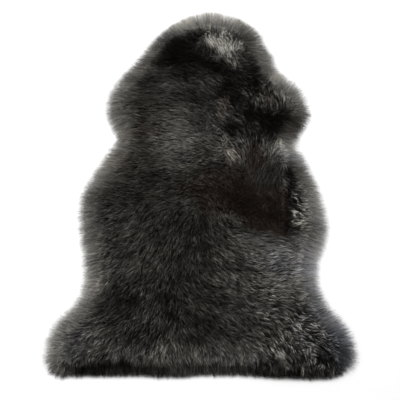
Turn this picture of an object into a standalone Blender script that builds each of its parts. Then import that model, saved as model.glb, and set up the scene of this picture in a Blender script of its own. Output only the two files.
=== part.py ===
"""Sheepskin rug: one whole pelt, its long wool up, lying flat on a floor.

The pelt is a single piece, so it is a single solid: the tanned hide below, flat on the floor and
cut back a little, and the wool standing on it as a lumpy slab that rolls over the hide's edge and
breaks into pointed locks, which rest level on the floor all round the rim.

Metres, +Z up. The floor is z = 0, the neck points to +Y, and the origin is on the floor at the
middle of the rug's length and width.
"""

import bmesh
import bpy
import numpy as np
from math import cos, radians, sin, sqrt
from mathutils import Matrix, Vector, noise
from mathutils.geometry import delaunay_2d_cdt

# Driving dimensions
HIDE_THICKNESS = 0.0025
HIDE_CUT_BACK = 0.022  # from the slab's rim in to the hide's cut edge
WOOL_HEIGHT = 0.046  # of the combed wool above the floor, tufts left out
ROLL_WIDTH = 0.062  # the strip along the rim over which the wool rolls down
RIM_TOP = 0.013
RIM_UNDERSIDE = 0.001
TUFT_SIZE = 0.044
TUFT_RISE = 0.0075
RIPPLE_SIZE = 0.026
RIPPLE_RISE = 0.0022
POINT_SPACING = 0.0150  # of the slab's upper surface
RIM_CLEARANCE = 0.55  # of that spacing, between the rim and the nearest inner point
MERGE_DISTANCE = 1e-6

# The locks round the rim
LOCK_COUNT = 224
ROOT_UNEVENNESS = 0.45  # of a lock's root width, which a parting is off an even pitch
LOCK_LENGTH = 0.0195
LOCK_LENGTH_SPREAD = 0.62  # of the length, longer or shorter
LOCK_LEAN = radians(30)  # the most that the wool's lie turns a lock from straight out
NOTCH_SHARE = 0.42  # of a hollow bend's radius, which its locks don't pass
LOCK_SECTIONS = (
    # share of length, share of root width, height
    (0.36, 0.86, 0.0105),
    (0.76, 0.50, 0.0058),
)
LOCK_TIP_HEIGHT = 0.0012

# The slab's rim, clockwise from the neck, in metres
RIM_OUTLINE = (
    # landmark, x, y
    ("neck_top", 0.033, 0.474),
    ("neck_right", 0.128, 0.441),
    ("throat_right", 0.188, 0.321),
    ("shoulder_right_upper", 0.249, 0.266),
    ("shoulder_right", 0.269, 0.206),
    ("armpit_right", 0.233, 0.144),
    ("ribs_right_upper", 0.284, -0.001),
    ("ribs_right", 0.304, -0.104),
    ("flank_right", 0.273, -0.213),
    ("thigh_right", 0.295, -0.308),
    ("haunch_right_upper", 0.355, -0.386),
    ("haunch_right", 0.366, -0.424),
    ("haunch_right_lower", 0.350, -0.468),
    ("hem_right", 0.214, -0.476),
    ("hem_right_inner", 0.101, -0.469),
    ("hem_middle", 0.021, -0.465),
    ("hem_left_inner", -0.055, -0.472),
    ("hem_left", -0.147, -0.469),
    ("hem_left_outer", -0.265, -0.470),
    ("haunch_left_lower", -0.360, -0.463),
    ("haunch_left_upper", -0.355, -0.379),
    ("thigh_left", -0.301, -0.321),
    ("flank_left", -0.274, -0.248),
    ("belly_left", -0.278, -0.171),
    ("ribs_left", -0.288, -0.035),
    ("ribs_left_upper", -0.231, 0.081),
    ("armpit_left", -0.206, 0.143),
    ("shoulder_left", -0.229, 0.242),
    ("throat_left", -0.156, 0.347),
    ("neck_left", -0.070, 0.446),
)

# The main ridges and troughs of the wool
WOOL_FORMS = (
    # name, x, y, half length, half width, heading in degrees, rise
    ("neck_tuft", 0.062, 0.395, 0.060, 0.034, -40, 0.007),
    ("neck_trough", -0.020, 0.385, 0.090, 0.030, -38, -0.007),
    ("throat_ridge", 0.075, 0.315, 0.080, 0.022, -35, -0.006),
    ("shoulder_knot", 0.195, 0.235, 0.055, 0.040, 20, 0.007),
    ("shoulder_trough", 0.150, 0.190, 0.085, 0.022, -42, -0.008),
    ("withers_ridge", 0.085, 0.130, 0.075, 0.030, 130, 0.006),
    ("hollow", 0.180, -0.030, 0.070, 0.045, -25, -0.016),
    ("hollow_right_lip", 0.247, -0.020, 0.085, 0.018, 95, 0.006),
    ("hollow_lower_lip", 0.165, -0.098, 0.080, 0.020, -12, 0.005),
    ("spine_parting", 0.020, -0.150, 0.130, 0.016, 92, -0.006),
    ("ribs_swell", -0.120, 0.020, 0.150, 0.080, 10, 0.003),
    ("loin_swell", -0.070, -0.230, 0.140, 0.090, 80, 0.003),
    ("haunch_right_tufts", 0.270, -0.380, 0.080, 0.050, -30, 0.005),
    ("haunch_right_gap", 0.285, -0.425, 0.045, 0.014, -20, -0.007),
    ("haunch_left_tufts", -0.270, -0.375, 0.070, 0.045, 30, 0.004),
    ("hem_ridge", 0.000, -0.415, 0.260, 0.022, 0, 0.004),
)


def clear_scene():
    for old in list(bpy.data.objects):
        bpy.data.objects.remove(old)


def smooth_loop(corners, steps=24):
    """Points of a closed centripetal spline through the corners."""
    points, count = [], len(corners)
    for i in range(count):
        a, b, c, d = (corners[(i + k) % count] for k in (-1, 0, 1, 2))
        ta = 0.0
        tb = ta + sqrt((b - a).length)
        tc = tb + sqrt((c - b).length)
        td = tc + sqrt((d - c).length)
        for step in range(steps):
            t = tb + (tc - tb) * step / steps
            ab = a.lerp(b, (t - ta) / (tb - ta))
            bc = b.lerp(c, (t - tb) / (tc - tb))
            cd = c.lerp(d, (t - tc) / (td - tc))
            abc = ab.lerp(bc, (t - ta) / (tc - ta))
            bcd = bc.lerp(cd, (t - tb) / (td - tb))
            points.append(abc.lerp(bcd, (t - tb) / (tc - tb)))
    return points


def uneven(*place):
    """A smooth uneven number between about -0.5 and 0.5 for a place."""
    return noise.noise(Vector(place))


def parted_loop(points, count):
    """The closed line of the points, as the count points where its locks part."""
    line = np.array([*points, points[0]])
    along = np.concatenate([[0], np.cumsum(np.linalg.norm(np.diff(line, axis=0), axis=1))])
    shares = [(i + ROOT_UNEVENNESS * uneven(i * 0.71, 5.3, 0.0)) / count for i in range(count)]
    stops = np.mod(shares, 1.0) * along[-1]
    return np.stack([np.interp(stops, along, line[:, k]) for k in (0, 1)], axis=1)


def outward_normals(loop):
    """The unit normals of a clockwise loop, pointing out of it."""
    tangents = np.roll(loop, -1, axis=0) - np.roll(loop, 1, axis=0)
    tangents /= np.linalg.norm(tangents, axis=1)[:, None]
    return np.stack([-tangents[:, 1], tangents[:, 0]], axis=1)


def distances_to(loop, points):
    """How far each point is from the closed loop."""
    start, end = loop, np.roll(loop, -1, axis=0)
    side = end - start
    to_point = points[:, None, :] - start[None, :, :]
    share = (to_point * side).sum(2) / (side * side).sum(1)
    nearest = start + np.clip(share, 0, 1)[:, :, None] * side
    return np.linalg.norm(points[:, None, :] - nearest, axis=2).min(axis=1)


def inside(loop, points):
    """Which points lie inside the closed loop, by counting the sides that a ray crosses."""
    start, end = loop, np.roll(loop, -1, axis=0)
    x, y = points[:, 0, None], points[:, 1, None]
    straddles = (start[:, 1] > y) != (end[:, 1] > y)
    rise = np.where(end[:, 1] == start[:, 1], 1.0, end[:, 1] - start[:, 1])
    crossing = start[:, 0] + (y - start[:, 1]) * (end[:, 0] - start[:, 0]) / rise
    return (straddles & (x < crossing)).sum(axis=1) % 2 == 1


def surface_points(loop):
    """Evenly staggered points over the area inside the rim."""
    row_step = POINT_SPACING * sqrt(3) / 2
    low, high = loop.min(axis=0), loop.max(axis=0)
    rows = np.arange(low[1], high[1], row_step)
    points = np.array(
        [
            (x + POINT_SPACING / 2 * (i % 2), y)
            for i, y in enumerate(rows)
            for x in np.arange(low[0], high[0], POINT_SPACING)
        ]
    )
    points = points[inside(loop, points)]
    return points[distances_to(loop, points) > RIM_CLEARANCE * POINT_SPACING]


def form_rise(x, y):
    """The height that the named ridges and troughs add."""
    rise = 0.0
    for _, form_x, form_y, half_length, half_width, heading, height in WOOL_FORMS:
        turn = radians(heading)
        along = (x - form_x) * cos(turn) + (y - form_y) * sin(turn)
        across = (y - form_y) * cos(turn) - (x - form_x) * sin(turn)
        fade = (along / half_length) ** 2 + (across / half_width) ** 2
        rise += height * np.exp(-fade)
    return rise


def tuft_rise(x, y):
    """Round tufts with creases between them, and finer ripples over them."""
    nearest = noise.voronoi(Vector((x, y, 0)) / TUFT_SIZE)[0][0]
    ripple = uneven(x / RIPPLE_SIZE, y / RIPPLE_SIZE, 1.7)
    return TUFT_RISE * (0.45 - nearest**2) + RIPPLE_RISE * ripple


def wool_height(x, y, from_rim):
    """Height of the wool above the floor: a quarter ellipse up from the rim, and the lumps."""
    share = min(from_rim / ROLL_WIDTH, 1.0)
    roll = sqrt(1.0 - (1.0 - share) ** 2)
    full = WOOL_HEIGHT + form_rise(x, y) + tuft_rise(x, y)
    return RIM_TOP + (full - RIM_TOP) * roll


def add_wool_top(bm, loop):
    """The upper surface, as triangles. Returns its rim vertices in the loop's order."""
    inner = surface_points(loop)
    from_rim = distances_to(loop, inner)
    flat = np.concatenate([loop, inner])
    count = len(loop)
    sides = [(i, (i + 1) % count) for i in range(count)]
    hull = delaunay_2d_cdt([Vector(p) for p in flat], sides, [], 0, MERGE_DISTANCE, False)
    triangles = np.array(hull[2])
    triangles = triangles[inside(loop, flat[triangles].mean(axis=1))]
    heights = [RIM_TOP] * count
    heights += [wool_height(x, y, d) for (x, y), d in zip(inner, from_rim)]
    verts = [bm.verts.new((x, y, z)) for (x, y), z in zip(flat, heights)]
    for triangle in triangles:
        bm.faces.new([verts[i] for i in triangle])
    return verts[:count]


def add_ring(bm, loop, height):
    return [bm.verts.new((x, y, height)) for x, y in loop]


def join_rings(bm, first, second):
    """A quad between each pair of neighbours on two rings."""
    quads = []
    for i in range(len(first)):
        j = (i + 1) % len(first)
        quads.append(bm.faces.new((first[i], first[j], second[j], second[i])))
    return quads


def bend_radii(loop):
    """The radius at each point of the loop's hollow bends, and a large one elsewhere."""
    reach = 2
    before, after = np.roll(loop, reach, axis=0), np.roll(loop, -reach, axis=0)
    step_in, step_out = loop - before, after - loop
    cross = step_in[:, 0] * step_out[:, 1] - step_in[:, 1] * step_out[:, 0]
    turn = np.arcsin(
        cross / np.linalg.norm(step_in, axis=1) / np.linalg.norm(step_out, axis=1)
    )
    length = np.linalg.norm(step_in, axis=1)
    hollow = np.maximum(turn, 1e-3)  # a clockwise loop turns left only in its hollows
    return length / hollow


def lock_length(index, radius):
    """A lock's length: uneven round the rim, and short where a hollow bend leaves little room."""
    length = LOCK_LENGTH * (1 + LOCK_LENGTH_SPREAD * uneven(index * 0.83, 0.37, 0.0))
    return min(length, NOTCH_SHARE * radius)


def grow_lock(bm, root, outward, length, lean):
    """A pointed lock of four sides, drawn out of one face of the rim to a tip on the floor."""
    heading = Matrix.Rotation(lean, 3, "Z") @ outward
    across = outward.cross(Vector((0, 0, 1)))
    foot = root.calc_center_median()
    foot.z = 0.0
    half_width = max(abs((vert.co - foot).dot(across)) for vert in root.verts)
    face = root
    for share, width, height in LOCK_SECTIONS:
        old = face.calc_center_median()
        face = bmesh.ops.extrude_discrete_faces(bm, faces=[face])["faces"][0]
        centre = foot + heading * (length * share)
        for vert in face.verts:
            side = 1 if (vert.co - old).dot(across) > 0 else -1
            upper = vert.co.z > old.z
            vert.co = centre + across * (side * half_width * width)
            vert.co.z = height if upper else 0.0
    tip = bmesh.ops.poke(bm, faces=[face])["verts"][0]
    tip.co = foot + heading * length
    tip.co.z = LOCK_TIP_HEIGHT


def centre_on_origin(bm):
    """Moves the rug so that the middle of its length and width is at x = y = 0."""
    places = np.array([(vert.co.x, vert.co.y) for vert in bm.verts])
    middle = (places.min(axis=0) + places.max(axis=0)) / 2
    bmesh.ops.translate(bm, verts=bm.verts, vec=(-middle[0], -middle[1], 0.0))


def build_sheepskin():
    corners = [Vector((x, y)) for _, x, y in RIM_OUTLINE]
    rim = parted_loop(smooth_loop(corners), LOCK_COUNT)
    outward = outward_normals(rim)
    hide = rim - outward * HIDE_CUT_BACK

    bm = bmesh.new()
    rim_top = add_wool_top(bm, rim)
    rim_low = add_ring(bm, rim, RIM_UNDERSIDE)
    hide_top = add_ring(bm, hide, HIDE_THICKNESS)
    hide_low = add_ring(bm, hide, 0.0)
    roots = join_rings(bm, rim_top, rim_low)
    join_rings(bm, rim_low, hide_top)
    join_rings(bm, hide_top, hide_low)
    bm.faces.new(hide_low)
    bmesh.ops.recalc_face_normals(bm, faces=bm.faces)

    radii = bend_radii(rim)
    for i, root in enumerate(roots):
        j = (i + 1) % LOCK_COUNT
        out = Vector((*(outward[i] + outward[j]), 0.0)).normalized()
        lean = LOCK_LEAN * uneven(i * 0.37, 2.6, 0.0)
        grow_lock(bm, root, out, lock_length(i, min(radii[i], radii[j])), lean)
    centre_on_origin(bm)

    mesh = bpy.data.meshes.new("sheepskin")
    bm.to_mesh(mesh)
    bm.free()
    mesh.shade_smooth()
    mesh.set_sharp_from_angle(angle=radians(50))
    return mesh


def wool_material():
    material = bpy.data.materials.new("charcoal_wool")
    material.use_nodes = True
    shader = material.node_tree.nodes["Principled BSDF"]
    shader.inputs["Base Color"].default_value = (0.045, 0.042, 0.038, 1.0)
    shader.inputs["Roughness"].default_value = 0.85
    shader.inputs["Metallic"].default_value = 0.0
    return material


def main():
    clear_scene()
    mesh = build_sheepskin()
    mesh.materials.append(wool_material())
    sheepskin = bpy.data.objects.new("sheepskin", mesh)
    bpy.context.scene.collection.objects.link(sheepskin)


main()
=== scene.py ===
"""The looks of the sheepskin rug: its suede hide, its dense under-wool and its long charcoal fleece.

The wool is made lock by lock. Each lock is a bunch of fine tapered strands that leave the
under-wool together, lie over along the nap and meet near the lock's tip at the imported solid's
upper surface. Tables of named places say which way the wool lies, how flat, and how light it is.
"""

from functools import cache
from math import radians

import bmesh
import bpy
import numpy as np
from bpy.props import FloatProperty, FloatVectorProperty, IntProperty, PointerProperty
from mathutils import Matrix, Vector, noise
from mathutils.bvhtree import BVHTree
from mathutils.kdtree import KDTree


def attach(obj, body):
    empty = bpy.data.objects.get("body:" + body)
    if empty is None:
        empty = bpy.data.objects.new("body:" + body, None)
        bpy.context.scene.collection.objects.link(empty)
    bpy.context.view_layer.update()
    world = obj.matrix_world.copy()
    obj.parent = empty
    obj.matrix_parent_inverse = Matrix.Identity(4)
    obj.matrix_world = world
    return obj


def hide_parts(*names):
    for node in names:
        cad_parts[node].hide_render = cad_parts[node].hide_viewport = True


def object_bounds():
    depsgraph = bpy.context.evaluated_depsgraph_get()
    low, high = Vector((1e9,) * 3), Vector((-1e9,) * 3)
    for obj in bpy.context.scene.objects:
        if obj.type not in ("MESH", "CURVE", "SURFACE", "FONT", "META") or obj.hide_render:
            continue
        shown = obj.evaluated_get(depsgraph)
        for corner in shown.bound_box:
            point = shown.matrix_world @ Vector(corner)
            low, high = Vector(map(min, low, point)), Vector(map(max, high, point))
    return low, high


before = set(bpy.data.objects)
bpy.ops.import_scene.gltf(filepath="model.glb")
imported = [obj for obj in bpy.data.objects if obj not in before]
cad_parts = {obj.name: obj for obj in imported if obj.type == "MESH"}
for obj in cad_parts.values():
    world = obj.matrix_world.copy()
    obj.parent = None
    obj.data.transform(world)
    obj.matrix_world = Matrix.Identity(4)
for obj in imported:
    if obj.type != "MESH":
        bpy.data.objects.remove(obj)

bl_info = {
    "name": "Sheepskin rug",
    "version": (1, 0, 0),
    "blender": (4, 5, 0),
    "location": "3D View > Sidebar > Sheepskin",
    "description": "Makes a long-wool sheepskin rug around its packed solid",
    "category": "Object",
}

NODE = "sheepskin"
BODY = "root"
CAD_LOW, CAD_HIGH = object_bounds()
TINY = 1e-9  # keeps a length of 0 out of a division

# The wool past the hide's cut edge, as in the solid
OVERHANG = 0.022  # of the wool's body
RIM_HEIGHT = 0.013  # of the wool's body there
SKIRT_REACH = 0.022  # of the thin tips, past the wool's body
SKIRT_HEIGHT = 0.0012  # of those tips above the floor
SKIRT_CURVE = 1.3  # above 1, the wool thins soonest beside its body

# How the solid is read
MERGE_GAP = 1e-5  # within it, points are one and a face lies on the floor
GRID_PITCH = 0.003
GRID_MARGIN = 0.02  # of the grid past the solid
RAY_START = 0.01  # above the solid, where the rays that find its top begin
LAST_CELL = 1.001  # keeps a place just inside the grid's last cell
PLACES_AT_ONCE = 20000  # how many are measured in one go, to spare memory

# The camera: the view's middle on the floor, its angle, distance and width there
VIEW_MIDDLE = Vector((-0.0006, -0.0250, 0.0))
VIEW_ELEVATION = radians(75)
VIEW_DISTANCE = 2.4
VIEW_WIDTH = 1.056

# The floor and the large soft light
FLOOR_SIZE = 14
FLOOR_ROUGHNESS, FLOOR_SPECULAR = 0.9, 0.1
KEY_PLACE = Vector((-1.0, 1.5, 2.8))
KEY_SIZE = 2.0
WHITE = (1, 1, 1, 1)

# Which way the wool's tips point
NAP = (
    # name, x, y, heading in degrees, lay (1 is flat, 0 is upright), tousle in degrees
    ("crown", 0.022, 0.464, 92, 0.9, 10),
    ("crown_right_top", 0.098, 0.460, 74, 0.9, 10),
    ("crown_left", -0.056, 0.448, 120, 0.9, 10),
    ("crown_right", 0.138, 0.430, 55, 0.9, 10),
    ("crown_side", 0.166, 0.360, 15, 0.9, 10),
    ("crown_dark", -0.076, 0.404, 158, 0.9, 10),
    ("crown_mottled", -0.012, 0.430, 170, 0.9, 14),
    ("whorl_top", 0.064, 0.424, 258, 0.9, 14),
    ("whorl_left", 0.022, 0.408, 316, 0.9, 12),
    ("whorl_middle", 0.064, 0.390, 304, 0.9, 12),
    ("whorl_right", 0.106, 0.396, 240, 0.9, 14),
    ("neck_edge", -0.136, 0.348, 188, 0.9, 10),
    ("neck_upper", -0.066, 0.360, 196, 0.9, 10),
    ("neck_middle", -0.014, 0.348, 176, 0.8, 12),
    ("neck_wedge", 0.038, 0.352, 156, 0.8, 14),
    ("throat_top", 0.086, 0.348, 312, 0.8, 18),
    ("throat_top_right", 0.138, 0.348, 350, 0.9, 16),
    ("neck_left", -0.178, 0.290, 183, 0.9, 8),
    ("neck_lower", -0.108, 0.290, 184, 0.9, 10),
    ("neck_inner", -0.032, 0.290, 166, 0.8, 14),
    ("throat_parting", 0.026, 0.290, 150, 0.8, 14),
    ("throat_upper", 0.080, 0.290, 326, 0.8, 18),
    ("throat_right", 0.134, 0.290, 312, 0.7, 24),
    ("shoulder_right_upper", 0.226, 0.262, 97, 0.8, 16),
    ("shoulder_right", 0.276, 0.206, 65, 0.8, 20),
    ("shoulder_knot", 0.176, 0.244, 120, 0.7, 30),
    ("throat_middle", 0.090, 0.234, 315, 0.8, 18),
    ("trough", 0.148, 0.186, 312, 0.7, 24),
    ("armpit_right", 0.232, 0.172, 345, 0.9, 16),
    ("shoulder_left", -0.214, 0.234, 186, 1, 8),
    ("chest_upper", -0.134, 0.236, 186, 1, 8),
    ("chest_upper_middle", -0.076, 0.240, 174, 1, 10),
    ("chest_upper_inner", -0.016, 0.240, 156, 0.9, 14),
    ("tongue", 0.034, 0.188, 310, 0.9, 16),
    ("chest_edge", -0.200, 0.172, 188, 1, 8),
    ("chest", -0.134, 0.176, 174, 1, 8),
    ("chest_middle", -0.080, 0.176, 184, 1, 8),
    ("chest_inner", -0.024, 0.176, 171, 0.9, 12),
    ("throat_lower", 0.084, 0.176, 314, 0.8, 20),
    ("withers_edge", -0.190, 0.122, 176, 1, 8),
    ("withers_left", -0.128, 0.122, 172, 1, 10),
    ("withers_middle", -0.074, 0.122, 184, 1, 10),
    ("withers_inner", -0.022, 0.122, 171, 0.9, 12),
    ("withers_parting", 0.028, 0.118, 162, 0.9, 14),
    ("left_tuft", 0.084, 0.094, 305, 1, 18),
    ("left_tuft_upper", 0.100, 0.144, 309, 0.9, 20),
    ("between_tufts", 0.142, 0.110, 266, 0.85, 14),
    ("right_tuft", 0.200, 0.102, 232, 1, 12),
    ("right_tuft_side", 0.246, 0.098, 22, 0.9, 10),
    ("ribs_upper_edge", -0.204, 0.066, 198, 1, 8),
    ("ribs_upper", -0.132, 0.068, 192, 1, 8),
    ("ribs_upper_middle", -0.080, 0.068, 178, 0.9, 12),
    ("ribs_top", -0.026, 0.068, 194, 0.8, 14),
    ("ribs_top_inner", 0.026, 0.072, 182, 0.8, 16),
    ("ribs_left_edge", -0.260, 0.012, 182, 1, 8),
    ("ribs", -0.156, 0.012, 184, 0.9, 10),
    ("ribs_middle", -0.078, 0.014, 195, 0.9, 12),
    ("ribs_inner", -0.026, 0.012, 220, 0.7, 14),
    ("back_upright_top", 0.030, 0.014, 150, 0.4, 12),
    ("back_upright", 0.078, 0.004, 136, 0.25, 12),
    ("hollow_fall", 0.134, 0.020, 250, 0.8, 7),
    ("hollow_fall_right", 0.188, 0.026, 237, 0.8, 8),
    ("hollow_curls_upper", 0.234, 0.016, 316, 0.7, 22),
    ("side_rim_upper", 0.284, 0.022, 8, 0.9, 12),
    ("ribs_low_edge", -0.296, -0.042, 186, 1, 8),
    ("ribs_low", -0.202, -0.040, 183, 0.9, 10),
    ("ribs_low_middle", -0.130, -0.040, 202, 0.9, 12),
    ("back_upper_left", -0.078, -0.042, 217, 0.7, 16),
    ("back_upper", -0.026, -0.042, 210, 0.7, 16),
    ("back_upper_middle", 0.014, -0.042, 132, 0.4, 14),
    ("back_upright_low", 0.066, -0.054, 140, 0.2, 12),
    ("hollow_left", 0.092, -0.056, 150, 0.12, 25),
    ("hollow", 0.150, -0.070, 240, 0.1, 25),
    ("hollow_right", 0.206, -0.070, 235, 0.1, 25),
    ("hollow_curls", 0.250, -0.058, 330, 0.7, 55),
    ("side_right_upper", 0.294, -0.056, 358, 1, 12),
    ("flank_edge_upper", -0.298, -0.098, 210, 1, 8),
    ("flank_upper", -0.226, -0.096, 202, 0.9, 12),
    ("back_left_edge", -0.178, -0.100, 223, 0.9, 14),
    ("back_left", -0.126, -0.106, 230, 0.7, 14),
    ("back_middle_left", -0.078, -0.112, 254, 0.7, 16),
    ("back_middle", -0.026, -0.116, 245, 0.7, 16),
    ("spine", 0.020, -0.100, 304, 0.8, 14),
    ("spine_right", 0.072, -0.096, 306, 0.7, 18),
    ("below_hollow_left", 0.112, -0.122, 350, 0.9, 14),
    ("hollow_lip", 0.164, -0.140, 356, 1, 8),
    ("hollow_corner", 0.230, -0.150, 344, 1, 10),
    ("side_right", 0.286, -0.138, 0, 1, 10),
    ("side_left", -0.292, -0.162, 203, 0.9, 10),
    ("flank_left", -0.220, -0.158, 210, 0.9, 12),
    ("back_lower_left", -0.148, -0.170, 238, 0.7, 16),
    ("spine_left", -0.072, -0.174, 240, 0.7, 16),
    ("spine_left_lower", -0.020, -0.174, 257, 0.7, 16),
    ("spine_right_upper", 0.024, -0.170, 304, 0.8, 14),
    ("back_right", 0.076, -0.170, 318, 0.9, 16),
    ("flank_inner", 0.126, -0.190, 334, 0.9, 16),
    ("side_inner", 0.182, -0.200, 14, 1, 12),
    ("side_lower", 0.248, -0.200, 8, 1, 10),
    ("belly_left_upper", -0.280, -0.214, 210, 0.9, 12),
    ("loin_left_outer", -0.214, -0.220, 229, 0.9, 14),
    ("loin_left", -0.152, -0.236, 238, 0.7, 14),
    ("loin_middle_left", -0.072, -0.232, 246, 0.7, 16),
    ("loin_middle", -0.020, -0.236, 278, 0.7, 16),
    ("loin_right", 0.030, -0.242, 317, 0.9, 14),
    ("loin_right_middle", 0.080, -0.242, 320, 0.9, 16),
    ("loin_right_outer", 0.126, -0.252, 312, 0.9, 18),
    ("flank_right", 0.182, -0.256, 4, 0.9, 16),
    ("flank_right_rim", 0.262, -0.256, 2, 1, 10),
    ("belly_left", -0.282, -0.294, 207, 0.9, 12),
    ("thigh_left_inner", -0.222, -0.302, 235, 0.9, 14),
    ("rump_left_upper", -0.146, -0.302, 246, 0.7, 16),
    ("rump_upper_left", -0.076, -0.302, 258, 0.7, 18),
    ("rump_upper", -0.020, -0.302, 320, 0.7, 16),
    ("rump_upper_right", 0.030, -0.302, 328, 0.9, 16),
    ("rump_right_upper", 0.100, -0.304, 328, 0.9, 16),
    ("thigh_right_inner", 0.176, -0.304, 350, 0.9, 18),
    ("thigh_right_upper", 0.246, -0.308, 342, 0.9, 18),
    ("thigh_left", -0.296, -0.352, 196, 0.9, 12),
    ("thigh_left_middle", -0.226, -0.352, 214, 0.9, 16),
    ("rump_left", -0.156, -0.358, 238, 0.7, 18),
    ("rump_middle_left", -0.076, -0.358, 266, 0.7, 18),
    ("rump_middle", -0.020, -0.352, 298, 0.7, 16),
    ("rump_middle_right", 0.034, -0.352, 312, 0.9, 14),
    ("rump_right", 0.110, -0.352, 325, 0.9, 16),
    ("thigh_right", 0.190, -0.352, 322, 0.9, 20),
    ("thigh_right_outer", 0.260, -0.352, 320, 0.9, 32),
    ("thigh_right_rim", 0.318, -0.372, 350, 0.9, 18),
    ("haunch_left_rim", -0.354, -0.408, 200, 0.9, 12),
    ("haunch_left", -0.288, -0.408, 212, 0.9, 16),
    ("haunch_left_inner", -0.200, -0.408, 236, 0.9, 18),
    ("seat_left", -0.124, -0.408, 236, 0.9, 18),
    ("seat_middle_left", -0.070, -0.412, 278, 0.9, 14),
    ("seat_middle", -0.016, -0.412, 290, 0.9, 12),
    ("seat", 0.034, -0.408, 310, 0.9, 12),
    ("seat_right", 0.108, -0.412, 318, 0.9, 14),
    ("haunch_right_inner", 0.184, -0.408, 316, 0.9, 26),
    ("haunch_right", 0.258, -0.412, 320, 0.9, 38),
    ("haunch_right_rim", 0.342, -0.412, 330, 0.9, 32),
    ("hem_corner_left", -0.346, -0.456, 215, 0.9, 14),
    ("hem_left", -0.268, -0.456, 226, 0.9, 14),
    ("hem_left_middle", -0.162, -0.456, 240, 0.9, 12),
    ("hem_middle", -0.046, -0.462, 282, 0.9, 12),
    ("hem_right_middle", 0.064, -0.462, 308, 0.9, 12),
    ("hem_right", 0.186, -0.462, 314, 0.9, 22),
    ("hem_corner_right", 0.326, -0.462, 318, 0.9, 30),
)
NAP_BLEND = 0.030  # how far a place's reading spreads
NAP_FAR, NAP_FAR_GAP = 1e-6, 0.01  # a small weight by which the nearest places count beyond it

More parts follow.
